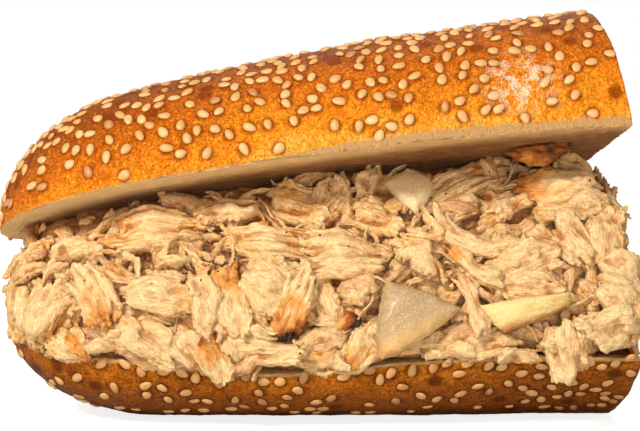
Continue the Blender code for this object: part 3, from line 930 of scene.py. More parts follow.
bpy.ops.object.empty_add(location=(0, 0, 0))
fibre_guide = bpy.context.object
fibre_guide.scale = FIBRE_STRETCH
bpy.context.view_layer.update()
fibre_master = single_fibre()
master_draw = random.Random(8)
masters = {name: torn_master(name, kind, master_draw) for name, kind in BUNDLES.items()}
deep_masters = {name: plainer_copy(master) for name, master in masters.items()}
for master in (*masters.values(), *deep_masters.values()):
    mark_hollows(master.data)
bpy.data.objects.remove(fibre_master)
bpy.data.objects.remove(fibre_guide)


def lay(
    kind_name, middle, along, outward, length, width, bend, hug, twist, tone, sear, draw, models=masters
):
    """Lays a copy of a torn piece: sized, bent sideways and towards the heap, twisted, turned and placed."""
    kind = BUNDLES[kind_name]
    copy = own_copy(models[kind_name])
    mesh = copy.data
    count = len(mesh.vertices)
    points = read_points(mesh)
    mirror = draw.choice((-1, 1))
    points *= np.array((length / kind.length, width / kind.width, math.sqrt(width / kind.width)))
    points[:, 0] *= mirror
    points[:, 1] *= mirror
    fibre = points + np.array([draw.uniform(0, 3) for _ in range(3)])
    share = points[:, 0] / (length * MM / 2)
    angle = twist * share
    turned_y = points[:, 1] * np.cos(angle) - points[:, 2] * np.sin(angle)
    turned_z = points[:, 1] * np.sin(angle) + points[:, 2] * np.cos(angle)
    points[:, 1], points[:, 2] = turned_y, turned_z
    arc(points, bend, length * MM, 0, 1)
    arc(points, -hug, length * MM, 0, 2)
    across = outward.cross(along).normalized()
    along = across.cross(outward).normalized()
    placed = points @ np.array((along, across, outward)) + np.array(middle)
    mesh.vertices.foreach_set("co", placed.ravel())
    lies_at = core_tree.find_nearest(middle)[0]
    depth = (placed - np.array(lies_at)) @ np.array(outward) / MM
    along_share = SEAR_MIDDLE + SEAR_SLOPE * share * math.copysign(1, sear)
    seared = abs(sear) * np.clip(along_share, 0, MOST_SEARED)
    if sear > 1:
        seared = np.full(count, SEARED_ALL_OVER)
    store(mesh, "fibre", fibre.ravel(), "FLOAT_VECTOR")
    store(mesh, "tone", np.full(count, tone))
    store(mesh, "sear", seared)
    store(mesh, "depth", depth)
    mesh.update()
    return copy


Torn = namedtuple("Torn", "kind x z length width turn bend hug lift tone sear")

# The torn pieces read from the photo, in millimetres and degrees: the middle of each as seen from the open
# side, its length and width, the turn of its length from level, how far it bends sideways and round the heap,
# how far it stands out, and how pink (0 to 1) and how seared (0 to 1, less than 0 at its other end, more than
# 1 all over) it is
FRONT_PIECES = [
    ("flake_a", -71, 38, 18, 10, 12, 0, 30, -0.4, 0.45, 0),
    ("block_b", -72, 27, 15, 9, 80, 20, 40, 0.4, 0.15, 0),
    ("block_c", -64, 27, 19, 10, 65, -30, 30, 0.6, 0.1, 0),
    ("flake_c", -58, 22.5, 12, 8, -20, 0, 20, 0.0, 0.2, 0.5),
    ("strand_a", -63, 36, 20, 3.4, 40, -30, 30, 0.6, 0.3, 0),
    ("block_a", -52, 32, 19, 9.5, -66, 0, 8, 1.4, 0.35, 0.45),
    ("flake_a", -40, 45.5, 25, 12, 4, -8, 30, 1.2, 0.1, -0.35),
    ("strand_a", -33, 39.5, 15, 3, 8, 50, 20, 2.6, 0.3, 0),
    ("strand_b", -44, 38.5, 14, 2.6, -60, -20, 20, 2.0, 0.3, 0),
    ("block_c", -38, 32, 21, 10, -4, 0, 30, 0.8, 0.1, 0.15),
    ("flake_c", -41, 24, 17, 11, -30, 10, 25, 1.0, 0.1, 0),
    ("shred_a", -31, 21, 14, 7, -42, 0, 20, 1.0, 0.4, 0),
    ("shred_c", -48, 21, 14, 6, 4, 0, 20, 0.6, 0.3, 0.2),
    ("strip_a", -27, 31, 24, 7.5, -80, 0, 25, 1.0, 0.85, 0),
    ("block_b", -20.5, 30, 19, 8.5, -72, 8, 25, 1.8, 0.1, -0.55),
    ("block_b", -24, 18, 13, 7, -72, 0, 20, 2.2, 0.1, -0.95),
    ("strip_a", -20, 50, 22, 8, 4, -15, 25, 0.2, 0.5, 0),
    ("flake_b", -5, 52, 18, 12, -20, 0, 30, 0.0, 0.3, 0),
    ("ribbon", -30, 52, 20, 7, -12, 20, 20, 0.0, 0.6, 0),
    ("flake_a", -12, 44, 25, 10, -8, 10, 30, 0.8, 0.2, 0.15),
    ("block_c", -12, 34, 17, 11.5, -50, 0, 30, 1.2, 0.1, 0.2),
    ("block_a", -5, 30, 19, 8, 66, -20, 25, 2.0, 0.15, -0.95),
    ("flake_b", -13, 20.5, 22, 9, -8, 8, 20, 1.2, 0.05, 0),
    ("strand_a", -16, 25, 20, 3.4, -20, 20, 20, 2.0, 0.1, 0),
    ("flake_a", 5, 40, 23, 13, -2, 0, 10, 2.2, 0.0, 0.1),
    ("strip_a", 9, 33, 14, 6, 15, 0, 20, 0.0, 0.7, 0),
    ("shred_b", 4, 27, 9, 5, 8, 0, 20, 1.0, 0.3, 0.95),
    ("block_b", 10, 21, 13, 6.5, 52, 0, 20, 1.2, 0.05, -0.85),
    ("shred_b", 1, 22, 11, 7, 20, 0, 20, 0.2, 0.5, 0),
    ("strip_b", 6, 54, 18, 5, -82, 20, 20, 0.8, 0.5, 0),
    ("strip_a", 12, 56, 16, 5, 72, -15, 20, 1.2, 0.2, 0),
    ("strand_a", -2, 58, 16, 3.6, 20, 30, 20, 1.0, 0.3, 0),
    ("ribbon", 22, 40, 17, 8, -50, -150, 30, 1.8, 0.1, 0.2),
    ("flake_b", 14, 49, 15, 10, -22, 0, 25, 0.8, 0.05, 0.1),
    ("strip_b", 26, 45, 12, 4, -6, 30, 20, 2.0, 0.1, 0.6),
    ("flake_a", 34, 57, 26, 10, 24, 10, 30, 0.6, 0.1, 0.12),
    ("ribbon", 36, 46, 28, 6, -22, 120, 20, 2.0, 0.15, 0),
    ("strip_b", 46, 52, 18, 5.5, 30, 25, 25, 1.0, 0.4, 0),
    ("block_c", 59, 54, 24, 12.5, -6, 12, 25, 1.2, 0.15, -0.6),
    ("strip_b", 37, 38, 20, 5.5, -40, 40, 20, 1.8, 0.1, -0.4),
    ("block_b", 48, 39, 19, 9, 18, -15, 25, 1.2, 0.3, 0),
    ("flake_b", 60, 44, 16, 10, -58, 0, 20, 1.8, 0.1, 0.15),
    ("strip_a", 70, 38, 17, 8, -58, 0, 25, 0.2, 0.8, 0),
    ("block_b", 68, 45, 17, 9, 78, 0, 25, 0.2, 0.3, 0),
    ("block_c", 70, 32, 16, 10, -50, 0, 25, 0.4, 0.7, 0),
    ("flake_c", 69, 25, 17, 12, 20, 0, 25, 1.0, 0.1, 0),
    ("flake_b", 57, 20, 16, 11, -80, 10, 20, 1.6, 0.0, 0),
    ("strip_b", 35, 29, 20, 5, -75, -50, 25, 1.8, 0.6, 0),
    ("block_b", 49, 34, 18, 8, -10, 0, 25, 0.6, 0.3, 0),
    ("shred_a", 38, 21.5, 15, 6, 5, 0, 20, 0.4, 0.4, 0),
    ("shred_c", 30, 19.5, 13, 5, 6, 0, 20, 0.6, 0.2, 0),
    ("strip_b", 45, 19.5, 13, 4.5, -6, 10, 20, 0.6, 0.5, 0.3),
    ("ribbon", 62, 57, 14, 6, -30, 10, 20, 0.2, 0.2, 0.1),
]
TILT = math.radians(10)
FRONT_TWIST = 25


def tilted(along, outward, draw, reach):
    """The two directions of a piece, tipped a little so that no two pieces lie alike."""
    tip = Matrix.Rotation(draw.uniform(-reach, reach), 3, along)
    pitch = Matrix.Rotation(draw.uniform(-reach, reach), 3, outward.cross(along))
    return (pitch @ along).normalized(), (pitch @ tip @ outward).normalized()


front_draw = random.Random(21)
front_copies = []
for torn in map(Torn._make, FRONT_PIECES):
    middle, outward = face_point(torn.x * MM, torn.z * MM)
    upward = outward.cross(Vector((1, 0, 0)))
    turn = math.radians(torn.turn)
    along = Vector((1, 0, 0)) * math.cos(turn) + upward * math.sin(turn)
    along, tipped = tilted(along, outward, front_draw, TILT)
    twist = front_draw.uniform(-FRONT_TWIST, FRONT_TWIST)
    turns = [math.radians(angle) for angle in (torn.bend, torn.hug, twist)]
    place = middle + outward * torn.lift * MM
    size = (torn.length, torn.width)
    front_copies.append(
        lay(torn.kind, place, along, tipped, *size, *turns, torn.tone, torn.sear, front_draw)
    )

# The seared sliver that hangs from the top half
SLIVER_MIDDLE = Vector((53.5, -19, 0)) * MM
SLIVER_BELOW = 1.7 * MM
SLIVER_ALONG = Vector((1, 0, 0.12))
SLIVER_FACING = Vector((0, -0.85, -0.5)).normalized()
sliver_middle = SLIVER_MIDDLE.copy()
sliver_middle.z = underside_height(SLIVER_MIDDLE.x, SLIVER_MIDDLE.y) - SLIVER_BELOW
front_copies.append(
    lay("shred_a", sliver_middle, SLIVER_ALONG, SLIVER_FACING, 14, 5, 0, 0.3, 0.2, 0.5, 1.5, front_draw)
)
front_chicken = join_pieces(front_copies, "chicken_front")

# The smaller pieces between them, in millimetres and shares of the heap's height
FILL_STEP_X = 6.4
FILL_FROM_UP = 0.09
FILL_STEP_UP = 0.13
FILL_STRAY = 2.5
FILL_STRAY_UP = 0.04
FILL_LOWEST = 0.07
FILL_HIGHEST = 0.98
FILL_LIFT = (-3.4, -0.8)
FILL_SIZE = 1.1
FILL_END_SIZE = 0.7
LEAST_SIZE = 0.68
LOW_SHARE = 0.16
LOW_TIP = math.radians(20)
FULL_REACH = 62
END_TOP = 0.84
THIN_KINDS = ("strand_a", "ribbon", "strip_b")
THIN_BEND = 100
THICK_BEND = 35
FILL_SEARED = 0.12
FILL_SEAR = (0.2, 0.7)
FILL_HUG = (10, 70)
FILL_TWIST = 60
FILL_TILT = 2.4 * TILT
FILL_KINDS = "shred_a shred_b shred_c strip_b strand_a ribbon flake_b strip_a block_b".split()
FILL_SHARES = [4, 4, 3, 3, 3, 4, 4, 3, 2]


def heap_place(x, share):
    """The place on the heap's face at a share of its height, and the way the face looks out."""
    low, high = cut_face_height(x, -30 * MM), underside_height(x, -10 * MM)
    return face_point(x, low + (high - low) * share)


def fill_piece(middle, outward, draw, lift, tip=QUARTER, full=FILL_SIZE):
    """A smaller piece with everything about it drawn at random, tipped up to a limit from level."""
    kind_name = draw.choices(FILL_KINDS, FILL_SHARES)[0]
    kind = BUNDLES[kind_name]
    turn = draw.uniform(-tip, tip)
    level = outward.cross(Vector((0, 0, 1))).normalized()
    along = level * math.cos(turn) + outward.cross(level) * math.sin(turn)
    along, tipped = tilted(along, outward, draw, FILL_TILT)
    grow = draw.uniform(LEAST_SIZE * full, full)
    reach = THIN_BEND if kind_name in THIN_KINDS else THICK_BEND
    bend = draw.uniform(-reach, reach)
    sear = draw.uniform(*FILL_SEAR) if draw.random() < FILL_SEARED else 0
    hug, twist, tone = draw.uniform(*FILL_HUG), draw.uniform(-FILL_TWIST, FILL_TWIST), draw.random()
    turns = [math.radians(angle) for angle in (bend, hug, twist)]
    place = middle + outward * lift * MM
    size = (kind.length * grow, kind.width * grow)
    return lay(kind_name, place, along, tipped, *size, *turns, tone, sear, draw, deep_masters)


fill_draw = random.Random(33)
fill_copies = []
x = HEAP_LEFT / MM + 1
while x < HEAP_RIGHT / MM:
    up = FILL_FROM_UP
    while up < 1:
        here = x + fill_draw.uniform(-FILL_STRAY, FILL_STRAY)
        share = up + fill_draw.uniform(-FILL_STRAY_UP, FILL_STRAY_UP)
        share = min(FILL_HIGHEST, max(FILL_LOWEST, share))
        if abs(here) > FULL_REACH:
            share *= END_TOP
        middle, outward = heap_place(here * MM, share)
        tip = LOW_TIP if share < LOW_SHARE else QUARTER
        full = FILL_SIZE if abs(here) < FULL_REACH else FILL_END_SIZE
        lift = fill_draw.uniform(*FILL_LIFT)
        fill_copies.append(fill_piece(middle, outward, fill_draw, lift, tip, full))
        up += FILL_STEP_UP
    x += FILL_STEP_X
fill_chicken = join_pieces(fill_copies, "chicken_fill")

# The pieces at the back and at both ends, which the photo doesn't show
BACK_STEP_X = 6.2
BACK_ROWS = 4
BACK_LIFT = (-0.4, 0.9)
SIDE_DETAIL = 0.76
ROW_SPREAD = (0.2, 0.8)
END_COLUMNS = 11
END_ROWS = 6
END_MARGIN = 4 * MM
END_LIFT = (-0.6, 1.0)
END_SIZE = 0.9
side_draw = random.Random(47)
side_copies = []
x = HEAP_LEFT / MM
while x < HEAP_RIGHT / MM:
    for row in range(BACK_ROWS):
        here = (x + side_draw.uniform(-FILL_STRAY, FILL_STRAY)) * MM
        y = HEAP_BACK_Y * plan_share(here)
        low, high = cut_face_height(here, y), underside_height(here, y)
        z = low + (high - low) * (row + side_draw.uniform(*ROW_SPREAD)) / BACK_ROWS
        middle, outward = core_tree.find_nearest(Vector((here + skew_with_cut(here, y), y, z)))[:2]
        side_copies.append(fill_piece(middle, outward, side_draw, side_draw.uniform(*BACK_LIFT)))
    x += BACK_STEP_X
for side, x in ((-1, HEAP_LEFT), (1, HEAP_RIGHT)):
    reach = (HEAP_BACK_Y + END_MARGIN) * plan_share(x)
    for column in range(END_COLUMNS):
        y = -reach + 2 * reach * (column + side_draw.uniform(*ROW_SPREAD)) / END_COLUMNS
        for row in range(END_ROWS):
            low, high = cut_face_height(x, y), underside_height(x, y)
            z = low + END_TOP * (high - low) * (row + side_draw.uniform(*ROW_SPREAD)) / END_ROWS
            middle = core_tree.find_nearest(Vector((x + skew_with_cut(x, y), y, z)))[0]
            facing = Vector((side, side_draw.uniform(-0.2, 0.2), 0)).normalized()
            lift = side_draw.uniform(*END_LIFT)
            side_copies.append(fill_piece(middle, facing, side_draw, lift, full=END_SIZE))
side_chicken = join_pieces(side_copies, "chicken_sides")
thin_out(side_chicken, SIDE_DETAIL)

# Loose fibres and scraps strewn over the face: how many, the seed of their draw, how far they keep from the
# ends, and between which limits their height, turn, tip, size, lift, bend, hug, twist and tone are drawn
STREWN_LIMITS = "count seed margin lowest turns tip kinds grow lift bend hug twist pinkest seared"
Strewn = namedtuple("Strewn", STREWN_LIMITS)
STREWN_HIGHEST = 0.95
STREWN_SEAR = 0.6
FIBRES = ("strand_a", "strand_b", "strand_b")
CRUMBLED = ("scrap_a", "scrap_b")
WISPS_LIE = (8 * MM, 0.15, (-QUARTER, QUARTER), TILT)
SCRAPS_LIE = (0, 0.08, (0, math.pi), 4 * TILT)
WISPS = Strewn(64, 71, *WISPS_LIE, FIBRES, (0.6, 0.95), (0.4, 2.0), 130, (0, 40), 60, 0.6, 0)
SCRAPS = Strewn(240, 59, *SCRAPS_LIE, CRUMBLED, (0.6, 1.2), (-0.6, 1.6), 0, (10, 60), 0, 1.0, 0.1)


def strew(name, kind_of):
    """Lays many small pieces over the heap's face and joins them."""
    draw = random.Random(kind_of.seed)
    copies = []
    for _ in range(kind_of.count):
        here = draw.uniform(HEAP_LEFT + kind_of.margin, HEAP_RIGHT - kind_of.margin)
        middle, outward = heap_place(here, draw.uniform(kind_of.lowest, STREWN_HIGHEST))
        turn = draw.uniform(*kind_of.turns)
        along = Vector((math.cos(turn), 0, math.sin(turn)))
        along, tipped = tilted(along, outward, draw, kind_of.tip)
        kind_name = draw.choice(kind_of.kinds)
        kind = BUNDLES[kind_name]
        grow = draw.uniform(*kind_of.grow)
        lift = draw.uniform(*kind_of.lift)
        bend = draw.uniform(-kind_of.bend, kind_of.bend) if kind_of.bend else 0
        hug = draw.uniform(*kind_of.hug)
        twist = draw.uniform(-kind_of.twist, kind_of.twist) if kind_of.twist else 0
        tone = kind_of.pinkest * draw.random()
        sear = STREWN_SEAR if kind_of.seared and draw.random() < kind_of.seared else 0
        length, width = kind.length * grow, kind.width * grow
        turns = [math.radians(angle) for angle in (bend, hug, twist)]
        place = middle + outward * lift * MM
        copies.append(lay(kind_name, place, along, tipped, length, width, *turns, tone, sear, draw))
    return join_pieces(copies, name)


wisps_chicken = strew("chicken_wisps", WISPS)
scraps_chicken = strew("chicken_scraps", SCRAPS)
for master in (*masters.values(), *deep_masters.values()):
    bpy.data.objects.remove(master)


PALE_MEAT = ((0.55, 0.225, 0.055), (0.93, 0.57, 0.225))
PINK_MEAT = ((0.45, 0.17, 0.055), (0.78, 0.38, 0.155))
CREAM_MEAT = (0.93, 0.66, 0.31)
GOLDEN_MEAT = (0.88, 0.41, 0.070)
# The groove, ridge, furrow, raised and gap colours are painted light and painted shade.
GROOVE_PAINTED_SHADE = (0.42, 0.130, 0.016)
RIDGE_PAINTED_LIGHT = (0.92, 0.69, 0.38)
GRAIN_MEAT = (0.48, 0.20, 0.06)
FURROW_PAINTED_SHADE = (0.56, 0.21, 0.04)
RAISED_PAINTED_LIGHT = (0.95, 0.72, 0.39)
GAP_PAINTED_SHADE = (0.30, 0.090, 0.016)
SEARED_MEAT = (0.76, 0.29, 0.04)
BROWNED_MEAT = (0.36, 0.085, 0.012)
BURNT_MEAT = (0.02, 0.012, 0.01)
PEPPER = (0.03, 0.02, 0.012)
MEAT_SHINE_TINT = (1.0, 0.80, 0.55, 1)
MEAT_GLOW_REACH = (1.0, 0.45, 0.2)
# The core's dark colours are painted shade between the pieces; at both ends it has the meat's paler colours.
CORE_PAINTED_SHADE = ((0.30, 0.11, 0.03), (0.58, 0.29, 0.11))
CORE_AT_END = ((0.60, 0.28, 0.09), (0.92, 0.58, 0.25))


def chicken_colour(tree, fibre, tone, sear, depth, hollow):
    """Cream fibres, pinker in some pieces and golden in patches, with painted shade in grooves, furrows and
    gaps, painted light on ridges and on pieces that stand out, and gold to black where seared.
    """
    fine = tree.noise(tree.stretch(fibre, (1.0, 6.0, 6.0)), 330.0, 4.0, 0.6)
    coarse = tree.noise(tree.stretch(fibre, (1.0, 4.0, 4.0)), 110.0, 3.0, 0.55)
    cloud = tree.noise(fibre, 170.0, 4.0, 0.6)
    grain = tree.noise(fibre, 1300.0, 2.0, 0.6)
    pale = tree.mix(tree.span(fine, 0.30, 0.66), *PALE_MEAT)
    pink = tree.mix(tree.span(fine, 0.30, 0.66), *PINK_MEAT)
    mixed = tree.span(tree.plus(tone, tree.minus(coarse, 0.5)), 0.15, 0.95)
    colour = tree.mix(mixed, pale, pink)
    colour = tree.blend(0.5, tree.span(cloud, 0.50, 0.72), colour, CREAM_MEAT)
    golden = tree.noise(fibre, 90.0, 3.0, 0.55)
    colour = tree.blend(0.62, tree.span(golden, 0.48, 0.64), colour, GOLDEN_MEAT)
    # Painted shade in grooves and painted light on ridges.
    colour = tree.blend(0.94, tree.span(hollow, -0.2, 0.7), colour, GROOVE_PAINTED_SHADE)
    colour = tree.blend(0.35, tree.span(hollow, -0.1, -0.8), colour, RIDGE_PAINTED_LIGHT)
    colour = tree.blend(0.45, tree.span(grain, 0.48, 0.30), colour, GRAIN_MEAT)
    threads = tree.noise(tree.stretch(fibre, (1.0, 7.0, 7.0)), 200.0, 2.0, 0.5, 0.4)
    furrow = tree.crossing(threads, 0.040, 0.005)
    # Painted shade in the thin furrows between fibres.
    colour = tree.blend(0.38, furrow, colour, FURROW_PAINTED_SHADE)
    # Painted light on pieces that stand far out of the heap, painted shade on those that lie deep in it.
    colour = tree.blend(0.40, tree.span(depth, 3.6, 7.0), colour, RAISED_PAINTED_LIGHT)
    colour = tree.blend(0.90, tree.span(depth, 3.3, -1.0), colour, GAP_PAINTED_SHADE)
    burn = tree.plus(sear, tree.swing(cloud, 1.9))
    burn = tree.times(burn, tree.span(sear, 0.02, 0.12))
    colour = tree.blend(0.85, tree.span(burn, 0.18, 0.62), colour, SEARED_MEAT)
    colour = tree.mix(tree.span(burn, 0.58, 0.85), colour, BROWNED_MEAT)
    return tree.mix(tree.span(burn, 0.85, 1.1), colour, BURNT_MEAT), fine, grain, furrow


def pepper(tree, place):
    """Grains of ground pepper stuck to the meat."""
    spots = tree.add("ShaderNodeTexVoronoi", {"Vector": place, "Scale": 260.0, "Randomness": 1.0})
    near = tree.span(spots.outputs["Distance"], 0.10, 0.05)
    shade = tree.add("ShaderNodeSeparateColor", {"Color": spots.outputs["Color"]}).outputs[0]
    return tree.times(near, tree.math("GREATER_THAN", shade, 0.60))


chicken_meat, meat_shader, meat_tree = finish_material(
    "pulled_chicken",
    0.44,
    specular_ior_level=0.50,
    subsurface_weight=0.25,
    subsurface_scale=0.0016,
)
fibre_place = meat_tree.attribute("fibre", "Vector")
shares = [meat_tree.attribute(label) for label in ("tone", "sear", "depth", "hollow")]
meat_colour, fine_fibres, meat_grain, furrows = chicken_colour(meat_tree, fibre_place, *shares)
grains = pepper(meat_tree, meat_tree.place())
meat_tree.set(meat_shader.inputs["Base Color"], meat_tree.mix(grains, meat_colour, PEPPER))
meat_shader.inputs["Subsurface Radius"].default_value = MEAT_GLOW_REACH
meat_shader.inputs["Specular Tint"].default_value = MEAT_SHINE_TINT
meat_normal = meat_tree.bump(fine_fibres, 0.00036, 0.8)
meat_normal = meat_tree.bump(meat_grain, 0.00045, 0.8, meat_normal)
meat_normal = meat_tree.bump(furrows, -0.00020, 0.8, meat_normal)
meat_tree.set(meat_shader.inputs["Normal"], meat_normal)

core_meat, core_shader, core_nodes = finish_material(
    "chicken_inside", 0.6, subsurface_weight=0.15, subsurface_scale=0.0014, specular_ior_level=0.3
)
core_place = core_nodes.place()
core_fine = core_nodes.noise(core_nodes.stretch(core_place, (1.0, 3.0, 2.0)), 420.0, 4.0, 0.6)
core_threads = core_nodes.span(core_fine, 0.35, 0.65)
# Painted shade: the core is dark where it shows between the pieces.
core_colour = core_nodes.mix(core_threads, *CORE_PAINTED_SHADE)
core_along = core_nodes.add("ShaderNodeSeparateXYZ", {"Vector": core_place}).outputs["X"]
core_end = core_nodes.span(core_nodes.math("ABSOLUTE", core_along), 0.062, 0.067)
core_colour = core_nodes.mix(core_end, core_colour, core_nodes.mix(core_threads, *CORE_AT_END))
core_nodes.set(core_shader.inputs["Base Color"], core_colour)
core_nodes.set(core_shader.inputs["Normal"], core_nodes.bump(core_fine, 0.0006, 0.8))
core.data.materials.append(core_meat)
core.data.shade_smooth()

for piece in (core, front_chicken, fill_chicken, side_chicken, wisps_chicken, scraps_chicken):
    if piece is not core:
        piece.data.materials.append(chicken_meat)
    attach(piece, "root")
    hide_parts("chicken")


# The pieces of onion
#
# Three pieces of cooked onion, translucent and wet, each cut from the thick layers of an onion. Fine veins
# run along them, and they lie cupped against the heap.

ONION_CELLS = (56, 40, 6)
PETAL_BOW = 0.12
VEINS_APART = 1.5 * MM
VEIN_LENGTH = 9 * MM
ROUGH_SIZE = 3 * MM
RAGGED_SIZE = 2.2 * MM
UNDERSIDE_SHARE = 0.4
# Painted glints and painted shade in fine spots on the onion.
PAINTED_SPARKLE = (0.95, 0.86, 0.66)
ONION_PAINTED_SHADE = (0.36, 0.22, 0.10)
ONION_GLOW_REACH = (1.0, 0.75, 0.4)
Petal = namedtuple("Petal", "node x z thickness stand_off curve corners veins vein_depth")

# Each piece in millimetres: its middle as seen from the open side, its thickness, how far it stands out, how
# much it is cupped, its corners from the low left one round to the high left one, and how its veins are
# turned and how deep they are
PETALS = [
    ("onion_large", 23, 27, 4.2, 3.4, 1.6, [(-10, -8), (-5.5, -8.8), (10, 2.2), (-7.6, 8.8)], 35, 0.05),
    ("onion_upper", 21.5, 55.6, 3.0, 1.2, 0.6, [(-6, 1.5), (1.5, -9), (6.5, 1), (0, 7)], -55, 0.03),
    ("onion_slice", 47.5, 28.5, 3.2, 3.4, 1.2, [(-5, -5), (9.5, 0.8), (10.5, 4.5), (-10.7, 1.4)], 16, 0.22),
]


def flat_place(corners, x, y):
    """A place inside the four corners, for shares from -1 to 1, with the sides bowed out a little."""
    low_left, low_right, high_right, high_left = [Vector(corner) * MM for corner in corners]
    low = low_left.lerp(low_right, (x + 1) / 2)
    high = high_left.lerp(high_right, (x + 1) / 2)
    bow = PETAL_BOW * max(abs(x), abs(y)) ** 2 * (1 - abs(x * y))
    return low.lerp(high, (y + 1) / 2) * (1 + bow)


def onion_piece(petal):
    """A flat block, drawn to its four corners, cupped, veined and rounded at its edges."""
    piece, bm = celled_cube(petal.node + "_looks", ONION_CELLS)
    middle, outward = face_point(petal.x * MM, petal.z * MM)
    aside = Vector((1, 0, 0)) - outward * outward.x
    aside.normalize()
    upward = outward.cross(aside)
    turn = math.radians(petal.veins)
    shares_x = []
    shares_y = []
    vein_places = []
    for vert in bm.verts:
        x, y, z = vert.co
        flat = flat_place(petal.corners, x, y)
        across = -flat.x * math.sin(turn) + flat.y * math.cos(turn)
        along = flat.x * math.cos(turn) + flat.y * math.sin(turn)
        cup = petal.curve * MM * (1 - x * x) * (1 - 0.5 * y * y)
        rounding = 1 - 0.55 * max(abs(x), abs(y)) ** 8
        vein = noise.noise(Vector((across / VEINS_APART, along / VEIN_LENGTH, petal.x)))
        rough = noise.noise(Vector((flat.x, flat.y, petal.x * MM)) / ROUGH_SIZE)
        height = petal.stand_off * MM + cup + z * petal.thickness * MM / 2 * rounding
        height += (petal.vein_depth * vein + 0.35 * rough) * MM * (1 if z > 0 else UNDERSIDE_SHARE)
        shrink = 1 - 0.05 * z * z * max(abs(x), abs(y)) ** 8
        shrink += 0.05 * noise.noise(Vector((flat.x, flat.y, 0.5 * z * MM)) / RAGGED_SIZE)
        vert.co = middle + aside * flat.x * shrink + upward * flat.y * shrink + outward * height
        shares_x.append(x)
        shares_y.append(y)
        vein_places.append((along, across, z * MM))
    bm.to_mesh(piece.data)
    bm.free()
    piece.data.shade_smooth()
    store(piece.data, "vein_place", np.array(vein_places).ravel(), "FLOAT_VECTOR")
    store(piece.data, "share_x", shares_x)
    store(piece.data, "share_y", shares_y)
    return piece


def onion_material(name, clear, cream, edge, band_low, band_high, toasted, vein_mix):
    """Wet onion: glassy inside, creamier in a band along one side, veined, with painted glints and painted
    shade in fine spots, and browned at its lower edge.
    """
    made, shader, tree = finish_material(
        name,
        0.34,
        coat_weight=0.12,
        coat_roughness=0.15,
        subsurface_weight=0.5,
        subsurface_scale=0.003,
        specular_ior_level=0.45,
    )
    shader.inputs["Subsurface Radius"].default_value = ONION_GLOW_REACH
    place = tree.attribute("vein_place", "Vector")
    side_x = tree.attribute("share_x")
    side_y = tree.attribute("share_y")
    veins = tree.noise(tree.stretch(place, (0.12, 1.0, 1.0)), 900.0, 3.0, 0.6)
    sparkle = tree.noise(place, 1900.0, 3.0, 0.65)
    cloud = tree.noise(place, 260.0, 3.0, 0.5)
    colour = tree.mix(tree.span(veins, 0.38, 0.60), clear, tree.mix(vein_mix, clear, cream))
    slope = tree.minus(side_x, side_y)
    uneven = tree.plus(slope, tree.swing(cloud, 0.5))
    colour = tree.mix(tree.span(uneven, band_low, band_high), colour, cream)
    # Painted glints and painted shade in fine spots.
    colour = tree.blend(0.40, tree.span(sparkle, 0.53, 0.66), colour, PAINTED_SPARKLE)
    colour = tree.blend(0.25, tree.span(sparkle, 0.47, 0.33), colour, ONION_PAINTED_SHADE)
    low_side = tree.plus(side_y, tree.swing(cloud, 0.8))
    colour = tree.blend(toasted, tree.span(low_side, -0.45, -1.0), colour, edge)
    tree.set(shader.inputs["Base Color"], colour)
    normal = tree.bump(veins, 0.00015, 0.6)
    tree.set(shader.inputs["Normal"], tree.bump(sparkle, 0.00050, 1.0, normal))
    return made


# Each material's name, its clear, cream and browned colours, where its cream band lies, how browned its edge
# is and how much cream its veins have
ONION_LOOKS = {
    "onion_large": [
        "onion_clear", (0.47, 0.31, 0.155), (0.80, 0.48, 0.15), (0.62, 0.30, 0.06), -0.3, 1.0, 0.6, 0.2
    ],
    # The upper piece lies in the top half's shade, and its colours are painted lighter to make up for it:
    # painted light.
    "onion_upper": [
        "onion_shaded", (0.98, 0.66, 0.34), (0.99, 0.74, 0.42), (0.80, 0.45, 0.19), 0.3, 1.4, 0.2, 0.2
    ],
    "onion_slice": [
        "onion_pale", (0.58, 0.29, 0.045), (0.88, 0.66, 0.26), (0.50, 0.19, 0.03), 1.6, -1.2, 0.9, 0.6
    ],
}
for petal in map(Petal._make, PETALS):
    onion = onion_piece(petal)
    onion.data.materials.append(onion_material(*ONION_LOOKS[petal.node]))
    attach(onion, "root")
    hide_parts(petal.node)


# Sesame seeds
#
# Hulled sesame seeds, flat drops about 3 mm long, baked half into the glaze of both halves. They lie closest
# over the crown, and each sits in a slightly darker ring of crust, partly glaze gathered round it and partly
# painted shade where it meets the crust.

SEED_LENGTH = 3.1 * MM
SEED_WIDTH = 2.25 * MM
SEED_THICKNESS = 1.1 * MM
SEED_LIFT = 0.10 * MM
SEED_APART = 2.9 * MM
SEED_RING = 0.8 * MM
SEED_RING_FADE = 0.3 * MM
SEED_PINCH = 0.35
SEED_TILT = 0.18
SEED_SIZE = (0.88, 1.12)
SEED_THICK = (0.9, 1.15)
SEED_SUNK = (0.4, 1.3)
LEAST_SEED_HEIGHT = 0.06
LOWEST_SEED = 2.5 * MM
BOTTOM_CHANCE = 0.9
CROWN_CHANCE = 0.20
SEED_COLOURS = ((0.76, 0.44, 0.165), (0.66, 0.32, 0.085))
TOASTED_SEED = (0.50, 0.20, 0.05)
SEED_MOTTLE = (0.62, 0.40, 0.17)
TOP_SEEDS = 760
BOTTOM_SEEDS = 330
LOST_SEEDS = 0.09

